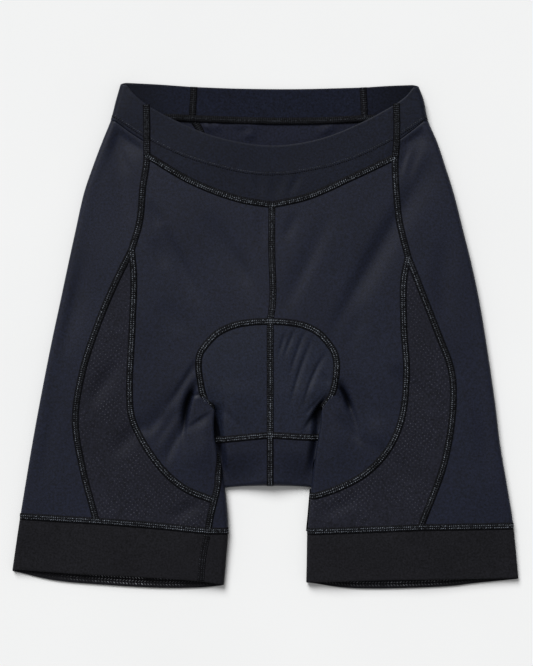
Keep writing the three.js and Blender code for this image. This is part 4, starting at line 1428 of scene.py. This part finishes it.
def hem_patches(side):
    seam_front, edge_front, seam_back, edge_back = hem_borders(side)

    def rows(start, end):
        return np.linspace(start[1], end[1], CELLS["hem"] * FINE + 1)

    fronts = rows(seam_front[-1], edge_front[-1])
    backs = rows(seam_back[0], edge_back[0])
    inner_front = rows(seam_front[0], edge_front[0])
    inner_back = rows(seam_back[-1], edge_back[-1])
    start = inseam_line(side, inner_front)
    end = inner_tangent(side, inner_back)
    seam_front[0], edge_front[0] = start[0], start[-1]
    seam_back[-1], edge_back[-1] = end[0], end[-1]
    wrap_start = inseam_along(side, inner_front) if side == "left" else np.zeros_like(inner_front)
    return [
        patch(start, side_tangent(side, fronts), seam_front, edge_front, on_front, UP),
        side_patch(side, fronts, backs),
        patch(side_tangent(side, backs), end, seam_back, edge_back, on_back, DOWN),
        inner_patch(side, inner_front, inner_back, wrap_start, inner_arc(inner_back)),
    ]


# Pieces that each side has: their patches, cloth, wall, and how far they lie above their neighbours.
SIDE_PIECES = [
    ("waistband_side", band_patches, BAND_JERSEY, DOUBLED_WALL, BAND_LIFT),
    ("side_panel", side_patches, JERSEY, CLOTH_WALL, 0.0),
    ("front_panel", front_patches, JERSEY, CLOTH_WALL, 0.0),
    ("mesh_panel", mesh_patches, MESH, CLOTH_WALL, 0.0),
    ("gusset_front", arch_patches, GUSSET_JERSEY, CLOTH_WALL, 0.0),
    ("gusset_lower", lower_patches, JERSEY, CLOTH_WALL, 0.0),
    ("hem_band", hem_patches, ELASTIC, HEM_WALL, 0.0),
]


def make_cloth():
    """All the sewn pieces, by the name of the node each stands for."""
    back = back_patches("left") + back_patches("right")
    made = {
        node: cut_cloth(node, patches, material, LININGS[material], wall)
        for node, patches, material, wall in (
            ("front_yoke", yoke_patches(), BAND_JERSEY, DOUBLED_WALL),
            ("waistband_back", back_band_patches(), BAND_JERSEY, DOUBLED_WALL),
            ("back_panel", back, JERSEY, CLOTH_WALL),
        )
    }
    for side in SIDES:
        for name, patches, material, wall, lift in SIDE_PIECES:
            node = name + "_" + side
            lining = LININGS.get(material, material)
            made[node] = cut_cloth(node, patches(side), material, lining, wall, lift)
    return made


def arch_seam():
    """The seam over the gusset, whose ends run out under the legs' inner edges."""
    left, right = LINES["left"], LINES["right"]
    arch = chain(left["archSide"][::-1], left["shoulder"][::-1], right["shoulder"], right["archSide"])
    places = np.arange(len(arch))
    from_end = np.minimum(places, places[::-1])
    sunk = -ARCH_END["sunk"] * (1 - ease(from_end / (ARCH_END["cells"] * FINE)))
    hidden = ARCH_END["hidden"] * FINE
    ends = [line_on_gusset(lines["gussetSide"][:hidden]) for lines in (left, right)]
    start = tuple(part[::-1] for part in ends[0])
    return joined(start, raised(line_on_front(arch), sunk[:, None]), ends[1])


def seam_lines():
    """Every flatlock seam as side, kind of stitch rows and line."""
    gusset = across_both("gussetSeam")
    gusset = gusset[(gusset[:, 0] > GUSSET_SEAM_SHOWN[0]) & (gusset[:, 0] < GUSSET_SEAM_SHOWN[1])]
    crotch_top = (MIDDLE_X, crotch_y(MIDDLE_X) + crotch_radius(MIDDLE_X))
    lower_centre = line_on_gusset(curve([CENTRE_ARCH[-1], crotch_top], LOWER_STEPS))
    found = [
        ("middle", "yoke", line_on_front(across_both("yokeSeam"))),
        ("middle", "centre", line_on_front(curve(CENTRE_FRONT, LINE_STEPS))),
        ("middle", "centre", line_on_gusset(curve(CENTRE_ARCH, LINE_STEPS))),
        ("middle", "even", joined(lower_centre, line_round_crotch(MIDDLE_X))),
        ("middle", "even", arch_seam()),
        ("middle", "even", line_on_gusset(gusset)),
    ]
    for side, lines in LINES.items():
        inner = line_on_front(lines["inner"])
        leg = inseam_seam(side, INSEAM_TOP[side], SEAMS[side]["hemMesh"][-1][1])
        if side == "left":
            leg = joined(inseam_start(), leg)
        else:
            ys = np.full(ROUND_STEPS, lines["inner"][-1, 1])
            along = np.linspace(0, inseam_along(side, ys)[0], ROUND_STEPS)
            inner = joined(inner, line_round_inner(side, ys, along))
        band = chain(lines["bandSeam"], lines["yokeSide"])
        found += [
            (side, "dim", raised(line_on_front(band), BAND_LIFT)),
            (side, "princess", line_on_front(chain(lines["princess"], lines["outer"]))),
            (side, "even", inner),
            (side, "even", hem_line(side)),
            (side, "inseam", leg),
        ]
    return found


def hem_line(side):
    """The hem seam, from below the leg's inner edge over the front and round the side fold."""
    seam_front, _, seam_back, _ = hem_borders(side)
    ys = np.full(ROUND_STEPS, seam_front[0, 1])
    wrap = line_round_inner(side, ys, np.linspace(inner_arc(ys[0]), 0, ROUND_STEPS))
    round_side = line_round_side(side, seam_front[-1, 1], seam_back[0, 1])
    if side == "left":
        strip = curve([inner_tangent(side, seam_front[:1, 1])[0], seam_front[0]], SHORT_STEPS)
        seam_front = chain(strip, seam_front)
    return joined(wrap, line_on_front(seam_front), round_side)


def inseam_seam(side, top, bottom):
    """The inseam between two heights."""
    ys = np.linspace(top, bottom, LINE_STEPS)
    if side == "left":
        return line_on_front(inseam_line(side, ys))
    return line_round_inner(side, ys, inseam_along(side, ys))


def inseam_start():
    """The top of the left inseam, which comes out from under the leg's inner edge."""
    ys = np.linspace(LEFT_INSEAM_START, INSEAM_TOP["left"], SHORT_STEPS)
    return line_round_inner("left", ys, np.linspace(0.5, 0.0, SHORT_STEPS) * inner_arc(ys))


def back_lines():
    """Seams under the back, and those that show inside the waist, each with its side."""
    outside, inside = [], []
    for side, lines in LINES.items():
        seen_inside = lines["backPrincess"][: INSIDE_SEAM_CELLS * FINE]
        under = (lines["backPrincess"], lines["backBand"], hem_borders(side)[2], lines["bandEdgeBack"])
        outside += [(side, line_on_back(line)) for line in under]
        inside += [
            (side, line_inside_back(lines["backBand"], DOUBLED_WALL)),
            (side, line_inside_back(seen_inside, CLOTH_WALL + INSIDE_SEAM_RISE)),
        ]
    across = across_both("backSeam")
    crotch = chain(under_edge(LINES["left"]), under_edge(LINES["right"])[::-1])
    outside += [("middle", line_on_back(line)) for line in (across, crotch)]
    waist = chain(LINES["left"]["bandEdgeBack"], across, LINES["right"]["bandEdgeBack"][::-1])
    inside.append(("middle", line_inside_back(waist, DOUBLED_WALL)))
    return outside, inside


def stitch_rows(lines, shade, lift):
    """The light or the dim rows of stitches of some seams."""
    return [
        beads(line, STITCH, offset, lift, ROWS[kind]["slant"])
        for kind, line in lines for offset in ROWS[kind][shade]
    ]


def sew_side(side, shown, under, within):
    """Tapes, cover threads and stitches of one side's seams."""
    seams = [line for _, line in shown] + within
    tape = make_tape("seam_tape_" + side, seams, TAPE)
    back_tape = make_tape("back_seam_tape_" + side, under, TAPE, TAPE_LOW["back"])
    cover = [beads(line, BAR, lift=LIFT["cover"]) for line in seams]
    light = stitch_rows(shown, "light", LIFT["light"])
    dim = stitch_rows(shown, "dim", LIFT["dim"])
    dim += stitch_rows([("inside", line) for line in within], "dim", LIFT["inside"])
    dim += stitch_rows([("back", line) for line in under], "dim", LIFT["back"])
    return [
        tape, back_tape,
        join_beads("cover_threads_" + side, cover, DARK_THREAD),
        join_beads("light_stitches_" + side, light, LIGHT_THREAD),
        join_beads("dim_stitches_" + side, dim, DIM_THREAD),
    ]


def hem_join():
    """The low seam that closes the left hem band, below the inseam."""
    hem_y = SEAMS["left"]["hemMesh"][-1][1]
    line = raised(inseam_seam("left", hem_y - HEM_JOIN["start"], hem_y - HEM_JOIN["end"]), -HEM_JOIN["sunk"])
    threads = stitch_rows([("hem", line)], "dim", LIFT["hem"])
    return [
        make_tape("hem_join", [line], HEM_TAPE, TAPE_LOW["hem"]),
        join_beads("hem_join_threads", threads, HEM_THREAD),
    ]


def topstitching():
    """The two rows that hold the waist's turned edge: threads above, and black marks below painting the shade
    of its dents.
    """
    points, normals = line_on_front(curve(TOPSTITCH, TOPSTITCH_STEPS))
    crossed = (points[:, 0] < BAND_CROSSING[0]) | (points[:, 0] > BAND_CROSSING[1])
    points[:, 2] += np.where(crossed, BAND_LIFT, 0.0)
    line = points, normals
    upper = beads(line, NEEDLE, 0.0, LIFT["needle"])
    # Painted shade: black marks in the lower row stand in for the shade in its needle dents.
    lower = beads(line, NEEDLE_DENT_SHADE, -NEEDLE_GAP, LIFT["dent_shade"])
    return [
        join_beads("topstitch_upper", [upper], DIM_THREAD),
        join_beads("topstitch_dent_shade", [lower], TAPE),
    ]


def make_sewing():
    """All the sewing, gathered by side."""
    outside, inside = back_lines()
    found = seam_lines()
    made = {}
    for side in (*SIDES, "middle"):
        shown = [(kind, line) for where, kind, line in found if where == side]
        under = [line for where, line in outside if where == side]
        within = [line for where, line in inside if where == side]
        made[side] = sew_side(side, shown, under, within)
    made["left"] += hem_join()
    made["middle"] += topstitching()
    for pieces in made.values():
        for piece in pieces:
            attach(piece, "root")
    return made


def make_gripper(side):
    """Slanting dashes of silicone, in rows inside the back of a hem, leaning one way and the other."""
    edge = hem_borders(side)[3]
    rows = []
    for n, inset in enumerate(GRIPPER_ROWS):
        x, y = (edge + np.array([0, inset])).T
        points = np.column_stack([x, y, np.full_like(x, BACK_CLEAR + HEM_WALL)])[GRIPPER_FREE:-GRIPPER_FREE]
        normals = np.tile(np.array(UP, float), (len(points), 1))
        at, forward, across, out = stations((points, normals), DASH["pitch"])
        lean = GRIPPER_SLANT if n % 2 else -GRIPPER_SLANT
        ahead = forward * math.cos(lean) + across * math.sin(lean)
        rows.append(set_beads(at, ahead, out, DASH, DASH["length"]))
    made = join_beads("gripper_" + side, rows, GRIPPER)
    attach(made, "root")
    return made


# Floor, light and camera

FLOOR_HALF = 3.0
FLOOR_DROP = 0.0002
FLOOR_SHADES = {"dark": (0.80, 0.805, 0.805), "light": (0.83, 0.835, 0.835), "size": 300}
SKY_STRENGTH = 0.33
WINDOW = {"energy": 3.7, "angle": math.radians(34), "towards": (-0.45, 1.0, 0.92)}
CAMERA = {"x": 1.1, "y": 3.1, "height": 1600.0, "lens": 92.65, "sensor": 36.0}


def make_floor():
    bm = bmesh.new()
    bmesh.ops.create_grid(bm, x_segments=1, y_segments=1, size=FLOOR_HALF)
    material, tree, shader = finish_for("pale_floor", roughness=0.9, specular=0.1)
    shade = mottled(tree, object_place(tree), **FLOOR_SHADES)
    tree.links.new(shade, shader.inputs["Base Color"])
    floor = object_of("floor", bm, material)
    floor.location.z = -FLOOR_DROP


def make_light():
    world = bpy.data.worlds.new("studio")
    bpy.context.scene.world = world
    world.use_nodes = True
    background = world.node_tree.nodes["Background"]
    background.inputs["Color"].default_value = (1.0, 1.0, 1.0, 1.0)
    background.inputs["Strength"].default_value = SKY_STRENGTH
    window = bpy.data.lights.new("window_light", "SUN")
    window.energy = WINDOW["energy"]
    window.angle = WINDOW["angle"]
    lamp = bpy.data.objects.new("window_light", window)
    lamp.rotation_euler = (-Vector(WINDOW["towards"])).to_track_quat("-Z", "Y").to_euler()
    bpy.context.scene.collection.objects.link(lamp)


def make_camera():
    camera = bpy.data.cameras.new("camera")
    camera.sensor_width = CAMERA["sensor"]
    camera.lens = CAMERA["lens"]
    holder = bpy.data.objects.new("camera", camera)
    holder.location = (CAMERA["x"] * MM, CAMERA["y"] * MM, CAMERA["height"] * MM)
    bpy.context.scene.collection.objects.link(holder)
    bpy.context.scene.camera = holder


make_camera()
make_floor()
make_light()
cloth = make_cloth()
sewing = make_sewing()
grippers = {side: make_gripper(side) for side in SIDES}
bpy.context.scene.view_settings.view_transform = "Standard"
